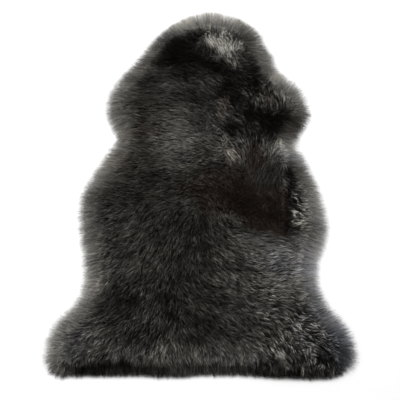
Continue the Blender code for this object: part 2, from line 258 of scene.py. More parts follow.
# Lighter and darker wool. Some of it is the wool's own tone, and some is painted light and shade:
# painted sheen on the chest, painted light at the rims, and painted shade in the gaps, folds and
# crevices and on the hem's front. The shift is of the tone, which runs from 0, darkest, to 1,
# lightest
TONES = (
    # name, x, y, half length, half width, heading in degrees, shift, warmth shift
    ("crown_band", 0.013, 0.472, 0.104, 0.021, 5, 0.11, 0.0),
    ("crown_patch_left", 0.029, 0.404, 0.029, 0.016, -30, 0.34, 0.0),
    ("crown_patch", 0.062, 0.395, 0.034, 0.026, -40, 0.36, 0.0),
    ("crown_patch_right", 0.100, 0.392, 0.023, 0.018, 40, 0.32, 0.0),
    ("crown_patch_tip", 0.078, 0.369, 0.018, 0.016, -50, 0.26, 0.0),
    ("crown_patch_top", 0.065, 0.437, 0.023, 0.013, 75, 0.30, 0.0),
    ("crown_mottled", -0.017, 0.440, 0.042, 0.018, 0, -0.26, 0.0),
    ("crown_smooth", 0.119, 0.422, 0.023, 0.023, 0, -0.18, 0.0),
    ("crown_side", 0.143, 0.369, 0.026, 0.021, -65, -0.20, 0.0),
    ("crown_dark", -0.082, 0.413, 0.034, 0.023, 42, -0.53, 0.0),
    ("neck_dark_upper", -0.055, 0.407, 0.052, 0.021, 22, -0.36, 0.1),
    ("neck_dark", -0.060, 0.363, 0.078, 0.031, 8, -0.46, 0.1),
    ("neck_dark_lower", -0.054, 0.311, 0.062, 0.016, -4, -0.18, 0.0),
    ("neck_edge", -0.119, 0.354, 0.026, 0.023, -30, -0.12, 0.0),
    ("neck_edge_dark", -0.159, 0.293, 0.039, 0.023, -30, -0.20, 0.0),
    ("neck_left_light", -0.100, 0.334, 0.031, 0.018, 0, 0.10, 0.0),
    ("neck_wedge", 0.042, 0.331, 0.062, 0.021, -20, -0.40, 0.1),
    ("throat_side_dark", 0.142, 0.319, 0.029, 0.023, -30, -0.34, 0.1),
    ("throat_dark", 0.107, 0.279, 0.047, 0.034, -30, -0.44, 0.1),
    ("throat_low_left", 0.064, 0.268, 0.023, 0.023, 0, -0.16, 0.1),
    ("throat_right_dark", 0.168, 0.288, 0.034, 0.034, -45, -0.36, 0.0),
    ("throat_low_dark", 0.111, 0.236, 0.078, 0.018, -12, -0.32, 0.0),
    ("throat_tongue", 0.063, 0.219, 0.031, 0.018, -80, 0.12, 0.3),
    ("chest_dark", -0.001, 0.245, 0.031, 0.021, -10, -0.16, 0.0),
    ("shoulder_dark", 0.169, 0.185, 0.068, 0.029, -12, -0.52, 0.1),
    ("shoulder_dark_side", 0.222, 0.185, 0.042, 0.029, 12, -0.44, 0.3),
    ("armpit_dark", 0.195, 0.146, 0.042, 0.016, 10, -0.34, 0.0),
    ("shoulder_knot", 0.178, 0.228, 0.016, 0.010, 10, 0.02, 0.1),
    ("shoulder_right_light", 0.243, 0.262, 0.036, 0.018, -50, 0.06, 0.0),
    ("shoulder_rim", 0.259, 0.279, 0.036, 0.018, -45, 0.10, 0.0),
    ("trough_low", 0.105, 0.149, 0.052, 0.021, -14, -0.32, 0.0),
    # painted sheen where light catches the lying wool of the chest
    ("chest_light", -0.064, 0.127, 0.094, 0.057, -6, 0.25, 0.0),
    ("chest_light_upper", -0.075, 0.194, 0.057, 0.026, 0, 0.20, 0.0),
    ("chest_middle_dark", -0.001, 0.099, 0.029, 0.021, -20, -0.12, 0.0),
    ("chest_left_dark", -0.154, 0.149, 0.031, 0.042, -60, -0.16, 0.2),
    ("left_tuft", 0.081, 0.091, 0.039, 0.029, -50, 0.19, 0.1),
    ("right_tuft", 0.202, 0.104, 0.042, 0.023, 50, 0.28, 0.0),
    ("right_tuft_side", 0.241, 0.085, 0.039, 0.029, 0, 0.17, -0.1),
    ("ribs_dark", -0.053, -0.010, 0.172, 0.034, 0, -0.04, 0.2),
    ("ribs_light", -0.079, 0.060, 0.042, 0.021, 0, 0.14, 0.0),
    ("ribs_left_dark", -0.131, 0.028, 0.031, 0.018, 0, -0.14, 0.0),
    ("ribs_low_dark", -0.182, -0.026, 0.029, 0.016, 0, -0.10, 0.0),
    ("back_upright", 0.046, -0.010, 0.073, 0.062, -30, -0.03, 0.6),
    ("falls_left", 0.098, 0.022, 0.036, 0.026, -60, -0.06, 0.3),
    ("falls_right", 0.197, 0.017, 0.029, 0.034, 0, -0.10, 0.0),
    ("hollow_corner", 0.242, -0.113, 0.021, 0.021, -20, -0.16, 0.0),
    # painted shade in a crevice
    ("hollow_crevice", 0.241, 0.021, 0.047, 0.016, 84, -0.60, 0.0),
    ("hollow_curls", 0.266, -0.037, 0.036, 0.021, 85, -0.26, 0.0),
    ("side_right_rim", 0.286, -0.053, 0.023, 0.062, 0, 0.14, 0.0),
    ("side_right_rim_low", 0.278, -0.153, 0.023, 0.036, 0, 0.12, 0.0),
    ("below_hollow_light", 0.158, -0.159, 0.073, 0.029, -10, 0.17, 0.0),
    ("side_right_light", 0.228, -0.200, 0.078, 0.047, -10, 0.22, -0.1),
    ("side_right_inner", 0.172, -0.216, 0.031, 0.036, 0, 0.08, 0.0),
    ("side_right_dark", 0.144, -0.247, 0.023, 0.029, 0, -0.12, 0.0),
    ("side_right_low", 0.231, -0.272, 0.047, 0.047, 0, 0.13, -0.0),
    ("side_left_dark", -0.264, -0.058, 0.023, 0.068, 0, -0.14, 0.0),
    ("belly_left_light", -0.239, -0.221, 0.021, 0.036, 0, 0.04, 0.0),
    ("belly_left_rim", -0.271, -0.267, 0.021, 0.036, 0, 0.10, 0.0),
    ("belly_left_dark", -0.255, -0.300, 0.026, 0.018, 0, -0.12, 0.0),
    ("back_left_light", -0.170, -0.122, 0.031, 0.026, 0, 0.10, 0.0),
    ("back_dark", -0.036, -0.143, 0.120, 0.109, 0, -0.06, 0.1),
    ("back_left_dark", -0.085, -0.106, 0.031, 0.016, 0, -0.10, 0.0),
    ("back_right_light", 0.055, -0.182, 0.036, 0.023, -20, 0.12, 0.0),
    ("spine_dark", 0.012, -0.122, 0.088, 0.013, -85, -0.18, 0.1),
    ("loin_right_light", 0.141, -0.277, 0.094, 0.047, -10, 0.11, 0.0),
    ("loin_dark", -0.046, -0.318, 0.114, 0.057, 0, -0.10, 0.1),
    ("loin_left_dark", -0.081, -0.302, 0.029, 0.023, 0, -0.12, 0.0),
    ("flank_left_dark", -0.202, -0.307, 0.052, 0.042, 20, -0.14, 0.0),
    ("thigh_left_dark", -0.170, -0.388, 0.042, 0.039, -30, -0.13, 0.0),
    ("thigh_right_dark", 0.169, -0.373, 0.031, 0.021, 0, -0.08, 0.0),
    ("thigh_right_upper", 0.265, -0.343, 0.036, 0.031, 0, -0.16, 0.0),
    ("rump_dark", 0.009, -0.385, 0.031, 0.026, 60, -0.14, 0.0),
    ("rump_dark_low", -0.020, -0.407, 0.036, 0.016, 0, -0.16, 0.0),
    ("haunch_left_light", -0.308, -0.412, 0.047, 0.052, 20, 0.12, -0.1),
    ("haunch_left_rim", -0.270, -0.383, 0.023, 0.016, 0, 0.10, 0.0),
    ("rump_light", -0.001, -0.437, 0.260, 0.026, 0, 0.14, 0.0),
    ("haunch_right_light", 0.218, -0.412, 0.068, 0.047, -20, 0.01, -0.0),
    ("haunch_right_cool", 0.311, -0.385, 0.068, 0.078, 0, 0.00, -0.1),
    ("haunch_right_dark", 0.334, -0.432, 0.052, 0.047, 0, -0.13, 0.0),
    ("haunch_right_rim", 0.345, -0.340, 0.036, 0.018, -50, 0.10, 0.0),
    ("hem_right_dark", 0.222, -0.461, 0.078, 0.013, 0, -0.12, 0.0),
    ("hem_light", -0.013, -0.461, 0.234, 0.013, 0, 0.14, 0.0),
    # painted shade on the hem's front, which faces away from the light
    ("hem_dark", 0.249, -0.498, 0.161, 0.013, -3, -0.48, 0.0),
    ("belly_left_inner", -0.193, -0.221, 0.021, 0.021, 0, 0.10, 0.0),
    ("chest_left_warm", -0.155, 0.211, 0.031, 0.052, 0, 0.00, 0.2),
    ("ribs_left_warm", -0.184, 0.071, 0.057, 0.042, 0, 0.00, 0.2),
    ("neck_wedge_low", 0.021, 0.308, 0.023, 0.016, 0, 0.06, 0.0),
    ("hem_light_left", -0.331, -0.461, 0.036, 0.013, 0, 0.14, 0.0),
    ("throat_tuft", 0.106, 0.273, 0.018, 0.013, 0, 0.04, 0.0),
    ("shoulder_underside", 0.253, 0.152, 0.029, 0.018, -20, 0.08, 0.1),
    ("falls_middle", 0.146, 0.077, 0.042, 0.026, -90, -0.08, 0.5),
    # painted shade in a crevice
    ("hollow_crevice_low", 0.231, -0.065, 0.052, 0.008, 88, -0.34, 0.0),
    ("hem_left_dark", -0.237, -0.468, 0.021, 0.013, 0, -0.36, 0.0),
    ("shoulder_upper_dark", 0.186, 0.253, 0.036, 0.018, -30, -0.16, 0.2),
    ("throat_rim", 0.206, 0.305, 0.016, 0.018, -30, 0.14, 0.0),
    ("neck_dark_right", -0.025, 0.325, 0.031, 0.021, 0, -0.12, 0.0),
    ("spine_dark_left", -0.026, -0.127, 0.031, 0.021, 0, -0.10, 0.0),
    ("rump_dark_upper", 0.029, -0.358, 0.036, 0.021, 0, -0.11, 0.0),
    ("loin_dark_upper", -0.051, -0.247, 0.047, 0.023, 0, -0.07, 0.0),
    ("flank_upper_dark", -0.160, -0.085, 0.026, 0.018, 0, -0.08, 0.0),
    # painted sheen on the chest
    ("chest_light_left", -0.128, 0.160, 0.031, 0.026, 0, 0.05, 0.0),
    # painted shade on the hem's front
    ("hem_dark_left", -0.246, -0.498, 0.135, 0.010, 0, -0.30, 0.0),
    ("hem_dark_middle", -0.037, -0.500, 0.146, 0.010, 0, -0.22, 0.0),
    ("hem_light_inner", 0.098, -0.459, 0.031, 0.013, 0, 0.10, 0.0),
    ("rump_light_left", -0.236, -0.432, 0.036, 0.021, 0, 0.07, 0.0),
    ("thigh_right_low_dark", 0.258, -0.383, 0.036, 0.021, 0, -0.08, 0.0),
    ("crevice_tuft", 0.225, -0.002, 0.021, 0.008, 80, 0.26, 0.0),
    # painted shade in a fold
    ("shoulder_fold", 0.190, 0.149, 0.021, 0.013, -25, -0.20, 0.1),
    ("crown_side_light", 0.172, 0.369, 0.013, 0.018, 0, 0.14, 0.0),
    ("throat_low_light", 0.125, 0.253, 0.021, 0.013, 0, 0.22, 0.0),
    ("neck_upper_light", -0.116, 0.279, 0.023, 0.013, 0, 0.14, 0.0),
    ("corner_right_dark", 0.371, -0.427, 0.018, 0.036, 0, -0.05, 0.0),
    ("right_rim_cool", 0.370, -0.385, 0.039, 0.114, 0, 0.00, -0.3),
    ("right_side_cool", 0.303, -0.234, 0.029, 0.088, 0, 0.00, -0.2),
    ("right_belly_cool", 0.329, -0.077, 0.036, 0.078, 0, 0.00, -0.1),
    ("hem_light_low", 0.098, -0.456, 0.042, 0.013, 0, 0.06, 0.0),
    ("armpit_side", 0.253, 0.132, 0.018, 0.021, 0, 0.16, 0.0),
    ("throat_edge_dark", 0.153, 0.340, 0.018, 0.021, 0, -0.32, 0.1),
    ("shoulder_top_light", 0.186, 0.256, 0.023, 0.016, -20, 0.06, 0.1),
    ("hollow_side_dark", 0.223, -0.049, 0.010, 0.021, 0, 0.10, 0.0),
    ("thigh_right_top", 0.250, -0.320, 0.031, 0.021, 0, -0.10, 0.0),
    ("loin_left_dark", -0.181, -0.318, 0.031, 0.026, 0, -0.09, 0.0),
    ("rump_middle_dark", 0.100, -0.292, 0.068, 0.021, -10, -0.07, 0.0),
    ("spine_low_dark", -0.086, -0.318, 0.018, 0.021, 0, -0.10, 0.0),
    ("hem_left_inner", -0.218, -0.442, 0.042, 0.013, 0, -0.02, 0.0),
    ("throat_left_dark", 0.066, 0.276, 0.021, 0.016, 0, -0.14, 0.0),
    # painted shade in the gaps between tufts
    ("knot_gap", 0.145, 0.197, 0.021, 0.016, 0, -0.16, 0.0),
    ("chest_right_dark", -0.011, 0.188, 0.042, 0.023, 0, -0.07, 0.0),
    # painted shade in the gaps between tufts
    ("tuft_gap", 0.039, 0.143, 0.031, 0.016, 0, -0.08, 0.0),
    ("neck_light_upper", 0.094, 0.340, 0.016, 0.013, 0, 0.18, 0.0),
    ("throat_tuft_dark", 0.095, 0.163, 0.021, 0.018, 0, -0.16, 0.0),
    ("rump_left_dark", -0.100, -0.385, 0.031, 0.016, 0, -0.14, 0.0),
    ("rump_right_dark", 0.094, -0.397, 0.031, 0.018, 0, -0.10, 0.0),
    ("back_left_dark", -0.039, -0.156, 0.018, 0.016, 0, -0.12, 0.0),
    ("loin_middle_dark", -0.026, -0.257, 0.031, 0.016, 0, -0.11, 0.0),
    ("hem_right_inner", 0.172, -0.461, 0.031, 0.013, 0, -0.28, 0.0),
    ("corner_right_low", 0.380, -0.447, 0.016, 0.026, 0, -0.16, 0.0),
    ("crevice_side", 0.198, 0.028, 0.018, 0.018, 0, 0.10, 0.0),
    ("hollow_edge_right", 0.221, -0.049, 0.008, 0.021, 0, 0.12, 0.0),
    # painted shade in the gaps between tufts
    ("tuft_low_gap", 0.036, 0.055, 0.016, 0.013, 0, -0.14, 0.0),
    # painted shade in the gaps between the hem's tufts
    ("hem_gap_first", -0.299, -0.481, 0.021, 0.010, 0, -0.32, 0.0),
    ("hem_gap_second", -0.267, -0.476, 0.018, 0.013, -20, -0.34, 0.0),
    ("hem_gap_third", -0.193, -0.468, 0.023, 0.016, 0, -0.44, 0.0),
    ("hem_gap_fourth", -0.141, -0.483, 0.018, 0.008, 0, -0.26, 0.0),
    ("hem_tuft_left", -0.210, -0.461, 0.008, 0.021, 0, 0.16, 0.0),
    # painted shade in the gaps between the hem's tufts
    ("hem_gap_right", 0.246, -0.456, 0.013, 0.010, 0, -0.30, 0.0),
    ("hem_gap_far_right", 0.301, -0.451, 0.016, 0.010, -20, -0.30, 0.0),
    # painted shade in the gaps between the haunch's locks
    ("haunch_gap_upper", 0.293, -0.383, 0.018, 0.008, 0, -0.08, 0.0),
    ("haunch_gap_lower", 0.332, -0.410, 0.026, 0.008, -15, -0.12, 0.0),
    ("haunch_gap_left", 0.215, -0.427, 0.016, 0.008, -30, -0.34, 0.0),
    ("haunch_streak", 0.238, -0.400, 0.023, 0.008, -30, 0.20, 0.0),
    ("haunch_streak_low", 0.205, -0.442, 0.026, 0.008, -50, 0.18, 0.0),
    ("corner_left_light", -0.358, -0.481, 0.026, 0.016, 0, 0.26, 0.0),
    ("haunch_right_low", 0.316, -0.449, 0.023, 0.016, 0, -0.26, 0.0),
    ("shoulder_rim_inner", 0.198, 0.308, 0.018, 0.016, -40, 0.12, 0.0),
    ("crown_patch_low", 0.043, 0.372, 0.013, 0.010, 0, 0.14, 0.0),
    ("haunch_right_fold", 0.294, -0.434, 0.021, 0.013, -30, 0.12, 0.0),
    ("lip_dark", 0.248, -0.042, 0.013, 0.026, 0, -0.03, 0.0),
    # painted shade in a gap between the haunch's locks
    ("haunch_gap_near", 0.259, -0.434, 0.016, 0.013, 0, -0.18, 0.0),
)

# How much farther or less far the wool goes past the hide's edge than in the solid
RIM_REACHES = (
    # name, x, y, half length, half width, heading in degrees, share of the overhang added
    ("all_round", 0.000, 0.000, 2.000, 2.000, 0, 0.12),
    ("crown", 0.040, 0.490, 0.085, 0.060, 0, 0.29),
    ("crown_right", 0.170, 0.400, 0.070, 0.050, -60, 0.25),
    ("shoulder_right", 0.270, 0.280, 0.070, 0.050, -60, 0.10),
    ("shoulder_point", 0.310, 0.200, 0.045, 0.040, 0, 0.28),
    ("armpit_right", 0.265, 0.135, 0.030, 0.025, 0, -0.04),
    ("side_right", 0.340, -0.100, 0.040, 0.060, 0, 0.06),
    ("armpit_left", -0.225, 0.140, 0.050, 0.045, 0, -0.42),
    ("belly_left", -0.310, -0.170, 0.040, 0.040, 0, -0.15),
    ("waist_left", -0.300, -0.270, 0.040, 0.040, 0, -0.14),
    ("waist_right", 0.285, -0.245, 0.030, 0.040, 0, -0.14),
    ("haunch_right", 0.350, -0.340, 0.050, 0.040, 0, 0.07),
    ("hem", 0.000, -0.500, 0.350, 0.050, 0, 0.12),
    ("hem_middle", 0.035, -0.500, 0.040, 0.050, 0, 0.12),
    ("hem_left", -0.250, -0.500, 0.030, 0.050, 0, 0.04),
    ("hem_right", 0.150, -0.500, 0.040, 0.050, 0, -0.04),
    ("corner_left", -0.385, -0.490, 0.045, 0.045, 0, 0.26),
    ("corner_right", 0.360, -0.480, 0.040, 0.030, 0, -0.04),
)

PATCH_EDGE = 3  # the power that gives an oval patch its even middle and its soft border
NOISE_GAIN = 1.6  # brings the noise to a range of about -1 to 1

# The lower edge, whose front is in shade
HEM_TOP, HEM_FADE = -0.40, 0.03  # above this y the wool has no hem, and how far below it is full
HEM_FACING, HEM_FACING_FROM = 1.6, 0.5  # how the hem grows as the rim turns towards the camera

# The rest of the rim, where light comes through the tips
RIM_PALENESS = 0.40  # the tone's rise there
PALEST_INSET = -0.034  # where the rim's wool is palest, and past it
RIM_FADE = 0.038  # how far in from there the paleness reaches

# The waves in the borders of the lighter and darker patches
TONE_WARPS = ((0.030, 0.006), (0.009, 0.003))  # their size and how far they move the border
WARP_SEEDS = (31.0, 47.0)  # to the side and up

# The outline of the short velvety place
HOLLOW_RIM = (
    # name, x, y
    ("upper_left", 0.062, -0.016),
    ("fold_left", 0.130, -0.000),
    ("fold_right", 0.231, -0.019),
    ("right", 0.237, -0.073),
    ("corner", 0.233, -0.136),
    ("lip_right", 0.213, -0.134),
    ("lip_middle", 0.182, -0.124),
    ("lip", 0.149, -0.119),
    ("lip_left", 0.126, -0.107),
    ("lower_left", 0.103, -0.081),
    ("left", 0.077, -0.049),
)
HOLLOW_CRISP, HOLLOW_FADE = 0.006, 0.040  # widths of its border at the lower right and elsewhere
HOLLOW_FADE_X, HOLLOW_FADE_Y = (0.080, 0.140), (-0.080, -0.030)  # where the one becomes the other
HOLLOW_TONE, HOLLOW_WARMTH = -0.13, 0.8  # its shifts of tone and warmth


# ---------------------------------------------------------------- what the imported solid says


def merged_solid():
    """A copy of the solid's mesh with its loose triangles joined up."""
    bm = bmesh.new()
    bm.from_mesh(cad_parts[NODE].data)
    bmesh.ops.remove_doubles(bm, verts=bm.verts, dist=MERGE_GAP)
    return bm


def hide_outline(bm):
    """The hide's cut edge: the rim of the flat underside that holds the origin. It starts at the
    point farthest up and goes clockwise."""
    floor_faces = {f for f in bm.faces if max(v.co.z for v in f.verts) < MERGE_GAP}
    start = min(floor_faces, key=lambda f: f.calc_center_median().length)
    found, queue = {start}, [start]
    while queue:
        face = queue.pop()
        for edge in face.edges:
            for other in edge.link_faces:
                if other in floor_faces and other not in found:
                    found.add(other)
                    queue.append(other)
    rim = {e for f in found for e in f.edges if sum(g in found for g in e.link_faces) == 1}
    after = {}
    for edge in rim:
        for vert in edge.verts:
            after.setdefault(vert, []).append(edge.other_vert(vert))
    first = max(after, key=lambda v: v.co.y)
    loop, last, here = [first], first, max(after[first], key=lambda v: v.co.x)
    while here is not first:
        loop.append(here)
        last, here = here, next(v for v in after[here] if v is not last)
    return np.array([v.co.xy for v in loop])


class Grid:
    """An even grid of places over the rug, and the reading of numbers between them."""

    def __init__(self, low, high, pitch):
        self.low = np.array(low[:2])
        self.pitch = pitch
        self.shape = np.ceil((np.array(high[:2]) - self.low) / pitch).astype(int) + 1
        x = self.low[0] + pitch * np.arange(self.shape[0])
        y = self.low[1] + pitch * np.arange(self.shape[1])
        self.places = np.stack(np.meshgrid(x, y, indexing="ij"), axis=2).reshape(-1, 2)

    def read(self, values, places):
        """The values of a field at any places, blended from the four nearest grid points."""
        field = values.reshape(*self.shape, -1)
        at = (places - self.low) / self.pitch
        at = np.clip(at, 0, self.shape - LAST_CELL)
        cell = at.astype(int)
        part = at - cell
        i, j = cell[:, 0], cell[:, 1]
        u, v = part[:, 0, None], part[:, 1, None]
        near = field[i, j] * (1 - u) + field[i + 1, j] * u
        far = field[i, j + 1] * (1 - u) + field[i + 1, j + 1] * u
        found = near * (1 - v) + far * v
        return found[:, 0] if found.shape[1] == 1 else found


def signed_insets(loop, places):
    """How far each place is inside the loop, and below 0 outside it."""
    side = np.roll(loop, -1, axis=0) - loop
    found = []
    for part in np.array_split(places, max(1, len(places) // PLACES_AT_ONCE)):
        to_part = part[:, None] - loop
        share = np.clip((to_part * side).sum(2) / (side * side).sum(1), 0, 1)
        gap = np.linalg.norm(to_part - share[:, :, None] * side, axis=2).min(axis=1)
        x, y = part[:, 0, None], part[:, 1, None]
        end = loop + side
        straddles = (loop[:, 1] > y) != (end[:, 1] > y)
        rise = np.where(side[:, 1] == 0, 1.0, side[:, 1])
        crossing = loop[:, 0] + (y - loop[:, 1]) * side[:, 0] / rise
        within = (straddles & (x < crossing)).sum(axis=1) % 2 == 1
        found.append(np.where(within, gap, -gap))
    return np.concatenate(found)


def unit(ways):
    """Each direction at a length of 1."""
    return ways / np.maximum(np.linalg.norm(ways, axis=-1, keepdims=True), TINY)


class WoolBed:
    """The fields that the wool follows: its height, its distance from the hide's edge, the way out
    and how much farther it goes than in the solid."""

    def __init__(self):
        bm = merged_solid()
        self.loop = hide_outline(bm)
        tree = BVHTree.FromBMesh(bm)
        bm.free()
        margin = Vector((GRID_MARGIN, GRID_MARGIN, 0.0))
        self.grid = Grid(CAD_LOW - margin, CAD_HIGH + margin, GRID_PITCH)
        places = self.grid.places
        true_insets = signed_insets(self.loop, places)
        stretch = 1 + sum(more * patch_share(places, *oval) for _, *oval, more in RIM_REACHES)
        self.insets = np.where(true_insets < 0, true_insets / stretch, true_insets)
        self.stretches = stretch
        above, down = CAD_HIGH.z + RAY_START, Vector((0, 0, -1))
        hits = [tree.ray_cast(Vector((x, y, above)), down)[0] for x, y in places]
        top = np.array([hit.z if hit else 0.0 for hit in hits])
        past = np.clip((-self.insets - OVERHANG) / SKIRT_REACH, 0, 1)
        skirt = SKIRT_HEIGHT + (RIM_HEIGHT - SKIRT_HEIGHT) * (1 - past) ** SKIRT_CURVE
        self.heights = np.where(true_insets > -OVERHANG + GRID_PITCH, top, skirt)
        slope = np.gradient(true_insets.reshape(self.grid.shape), GRID_PITCH)
        self.outward = unit(-np.stack(slope, axis=2).reshape(-1, 2))

    def height(self, places):
        """How high the wool stands above the floor."""
        return self.grid.read(self.heights, places)

    def inset(self, places):
        """How far inside the hide's edge a place is. It is below 0 outside."""
        return self.grid.read(self.insets, places)

    def way_out(self, places):
        """The direction straight away from the hide."""
        return self.grid.read(self.outward, places)

    def stretch(self, places):
        """The wool's reach past the hide's edge, over the reach it has in the solid."""
        return self.grid.read(self.stretches, places)


@cache
def wool_bed():
    """The wool bed, read from the frame once."""
    return WoolBed()


# ---------------------------------------------------------------- the nap and the tones


def unevenness(places, size, seed):
    """A smooth uneven number from about -1 to 1 for each place, with lumps of that size."""
    found = [noise.noise(Vector((x / size, y / size, seed))) for x, y in places]
    return np.array(found) * NOISE_GAIN


def nap_at(places):
    """The nap's unit direction, lay and tousle in radians at each place."""
    x, y, heading, lay, tousle = (np.array(column, float) for column in list(zip(*NAP))[1:])
    gap = np.hypot(places[:, 0, None] - x, places[:, 1, None] - y)
    weight = np.exp(-((gap / NAP_BLEND) ** 2)) + NAP_FAR / (gap + NAP_FAR_GAP) ** 2
    weight /= weight.sum(axis=1)[:, None]
    turn = np.radians(heading)
    way = unit(np.stack([weight @ np.cos(turn), weight @ np.sin(turn)], axis=1))
    return way, weight @ lay, np.radians(weight @ tousle)


def patch_share(places, x, y, half_length, half_width, heading):
    """How far each place is in an oval patch, from 0 outside to 1 in its middle."""
    turn = radians(heading)
    east, north = places[:, 0] - x, places[:, 1] - y
    along = east * np.cos(turn) + north * np.sin(turn)
    across = north * np.cos(turn) - east * np.sin(turn)
    return np.exp(-(np.hypot(along / half_length, across / half_width) ** PATCH_EDGE))


def hollow_share(places):
    """How far each place is in the short velvety place. Its border is crisp at the lower right."""
    inset = signed_insets(np.array([row[1:] for row in HOLLOW_RIM]), places)
    left = np.interp(places[:, 0], HOLLOW_FADE_X, (1, 0))
    upper = np.interp(places[:, 1], HOLLOW_FADE_Y, (0, 1))
    border = HOLLOW_CRISP + (HOLLOW_FADE - HOLLOW_CRISP) * np.maximum(left, upper)
    return np.clip(0.5 + inset / border, 0, 1)


def tone_at(places):
    """The shifts of tone and warmth that the named patches give at each place."""
    true_places = places
    for size, reach in TONE_WARPS:
        warp = [unevenness(places, size, seed) for seed in WARP_SEEDS]
        places = places + reach * np.stack(warp, axis=1)
    tone, warmth = np.zeros(len(places)), np.zeros(len(places))
    for _, *oval, shift, warm in TONES:
        share = patch_share(places, *oval)
        tone += shift * share
        warmth += warm * share
    velvet = hollow_share(true_places)
    return tone + HOLLOW_TONE * velvet, warmth + HOLLOW_WARMTH * velvet


def hem_share(places, out):
    """How far each place near the rim belongs to the hem, whose side is in shade."""
    low = np.clip((HEM_TOP - places[:, 1]) / HEM_FADE, 0, 1)
    return low * np.clip(-HEM_FACING * out[:, 1] - HEM_FACING_FROM, 0, 1)


def rim_paleness(places, inset, out):
    """The tone's rise towards the rim, where light comes through the tips, but not at the hem."""
    inward = np.clip(inset, PALEST_INSET, None) - PALEST_INSET
    return RIM_PALENESS * (1 - hem_share(places, out)) * np.exp(-((inward / RIM_FADE) ** 2))


# ---------------------------------------------------------------- strands as one mesh

STRAND_STEPS = np.array([0.0, 0.38, 0.72, 1.0])  # of its length, where a plain strand's points lie
CURL_STEPS = np.linspace(0, 1, 7)  # where a curled one's do
TAPER = ((0.0, 0.38, 0.72, 1.0), (0.8, 1.0, 0.72, 0.0))  # way along a strand, share of full width
FLOOR_GAP = 0.0004  # below the lowest strands

# The palette that the strands' map reads
BAKE_MAP = "OFBake"
WARM_LEVELS = 16  # its rows, from cool to warm
NEUTRAL_WARMTH = 0.2  # the warmth whose tint is the neutral one
TONE_EDGE = 0.004  # half of a strand's width on it
TONE_LOW, TONE_HIGH = 0.01, 0.99  # where the middles of the darkest and the lightest strands lie
ROW_START, ROW_SPAN = 0.04, 0.92  # of a row's height, where a strand's root is and how far it goes


def strand_mesh(name, centres, steps, widths, rolls, tones, warmths):
    """One mesh of tapered ribbons. centres holds each strand's points, and the map is a palette:
    across by tone, up by the way along the strand, one row for each level of warmth."""
    count, length = centres.shape[:2]
    along = unit(np.gradient(centres, axis=1))
    level = unit(np.cross(along, (0.0, 0.0, 1.0)))
    upright = np.cross(level, along)
    side = level * np.cos(rolls)[:, None, None] + upright * np.sin(rolls)[:, None, None]
    half = widths[:, None] * np.interp(steps, *TAPER)[:-1] / 2
    size = 2 * length - 1
    points = np.empty((count, size, 3))
    points[:, 0:-1:2] = centres[:, :-1] - side[:, :-1] * half[:, :, None]
    points[:, 1:-1:2] = centres[:, :-1] + side[:, :-1] * half[:, :, None]
    points[:, -1] = centres[:, -1]
    points[:, :, 2] = np.maximum(points[:, :, 2], FLOOR_GAP)
    rungs = range(0, size - 3, 2)
    pattern = [three for k in rungs for three in ((k, k + 1, k + 3), (k, k + 3, k + 2))]
    pattern = np.array(pattern + [(size - 3, size - 2, size - 1)])
    triangles = pattern + size * np.arange(count)[:, None, None]

    mesh = bpy.data.meshes.new(name)
    mesh.from_pydata(points.reshape(-1, 3), [], triangles.reshape(-1, 3))
    row = np.clip(np.round(warmths * (WARM_LEVELS - 1)), 0, WARM_LEVELS - 1)
    edge = TONE_EDGE * np.append(np.tile([-1, 1], length - 1), 0)
    across = np.clip(tones, TONE_LOW, TONE_HIGH)[:, None] + edge
    upward = (row[:, None] + ROW_START + ROW_SPAN * np.repeat(steps, 2)[:-1]) / WARM_LEVELS
    corners = np.stack([across, upward], axis=2)[:, pattern.ravel()]
    mesh.uv_layers.new(name=BAKE_MAP).uv.foreach_set("vector", corners.astype(np.float32).ravel())
    mesh.shade_smooth()
    return mesh


def add_piece(name, mesh, material):
    """Puts a mesh in the scene as a piece that rides on the rug."""
    mesh.materials.append(material)
    piece = bpy.data.objects.new(name, mesh)
    bpy.context.scene.collection.objects.link(piece)
    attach(piece, BODY)
    return piece


# ---------------------------------------------------------------- materials

FIBRES = {
    # material: brightness at its root, painted shade deep in the fleece, and at its tip, painted
    # sheen, over the plain wool's
    "charcoal_wool": (0.05, 1.60),
    "rim_wool": (0.32, 1.10),
    "loose_wool": (0.5, 1.25),
}
# The root's shade and the tip's light are painted shade and painted sheen along each fibre
ROOT_END, TIP_START = 0.15, 0.78  # along a fibre, where the root's shade ends and the tip's begins
DARK_ROUGHNESS, SHEEN = 0.72, -0.15  # of the darkest wool, and its change up to the lightest
FIBRE_SPECULAR, MATT_SPECULAR = 0.0, 0.15  # of wool fibres, and of the suede and under-wool
FLECK_GAIN = 3.2  # spreads the clouds times the flecks over the two colours


def new_group(name, inputs, outputs):
    """An empty shader node group with named number and colour sockets."""
    group = bpy.data.node_groups.new(name, "ShaderNodeTree")
    for socket, kind, value in inputs:
        made = group.interface.new_socket(socket, in_out="INPUT", socket_type="NodeSocket" + kind)
        made.default_value = value
    for socket, kind in outputs:
        group.interface.new_socket(socket, in_out="OUTPUT", socket_type="NodeSocket" + kind)
    entry = group.nodes.new("NodeGroupInput").outputs
    leave = group.nodes.new("NodeGroupOutput").inputs
    return group, entry, leave


def feed(tree, sockets, values):
    """Links each socket to the output given for it, or sets it to the value given."""
    for socket, value in zip(sockets, values):
        if isinstance(value, bpy.types.NodeSocket):
            tree.links.new(value, socket)
        else:
            socket.default_value = value


def math_node(tree, operation, *values):
    """A Math node fed by sockets or numbers. Returns its output."""
    node = tree.nodes.new("ShaderNodeMath")
    node.operation = operation
    feed(tree, node.inputs, values)
    return node.outputs[0]


def mix_colours(tree, share, first, second):
    """A colour Mix node fed by sockets or values. Returns its output."""
    node = tree.nodes.new("ShaderNodeMix")
    node.data_type = "RGBA"
    inputs = node.inputs
    feed(tree, (inputs[0], inputs[6], inputs[7]), (share, first, second))  # its colour sockets
    return node.outputs[2]


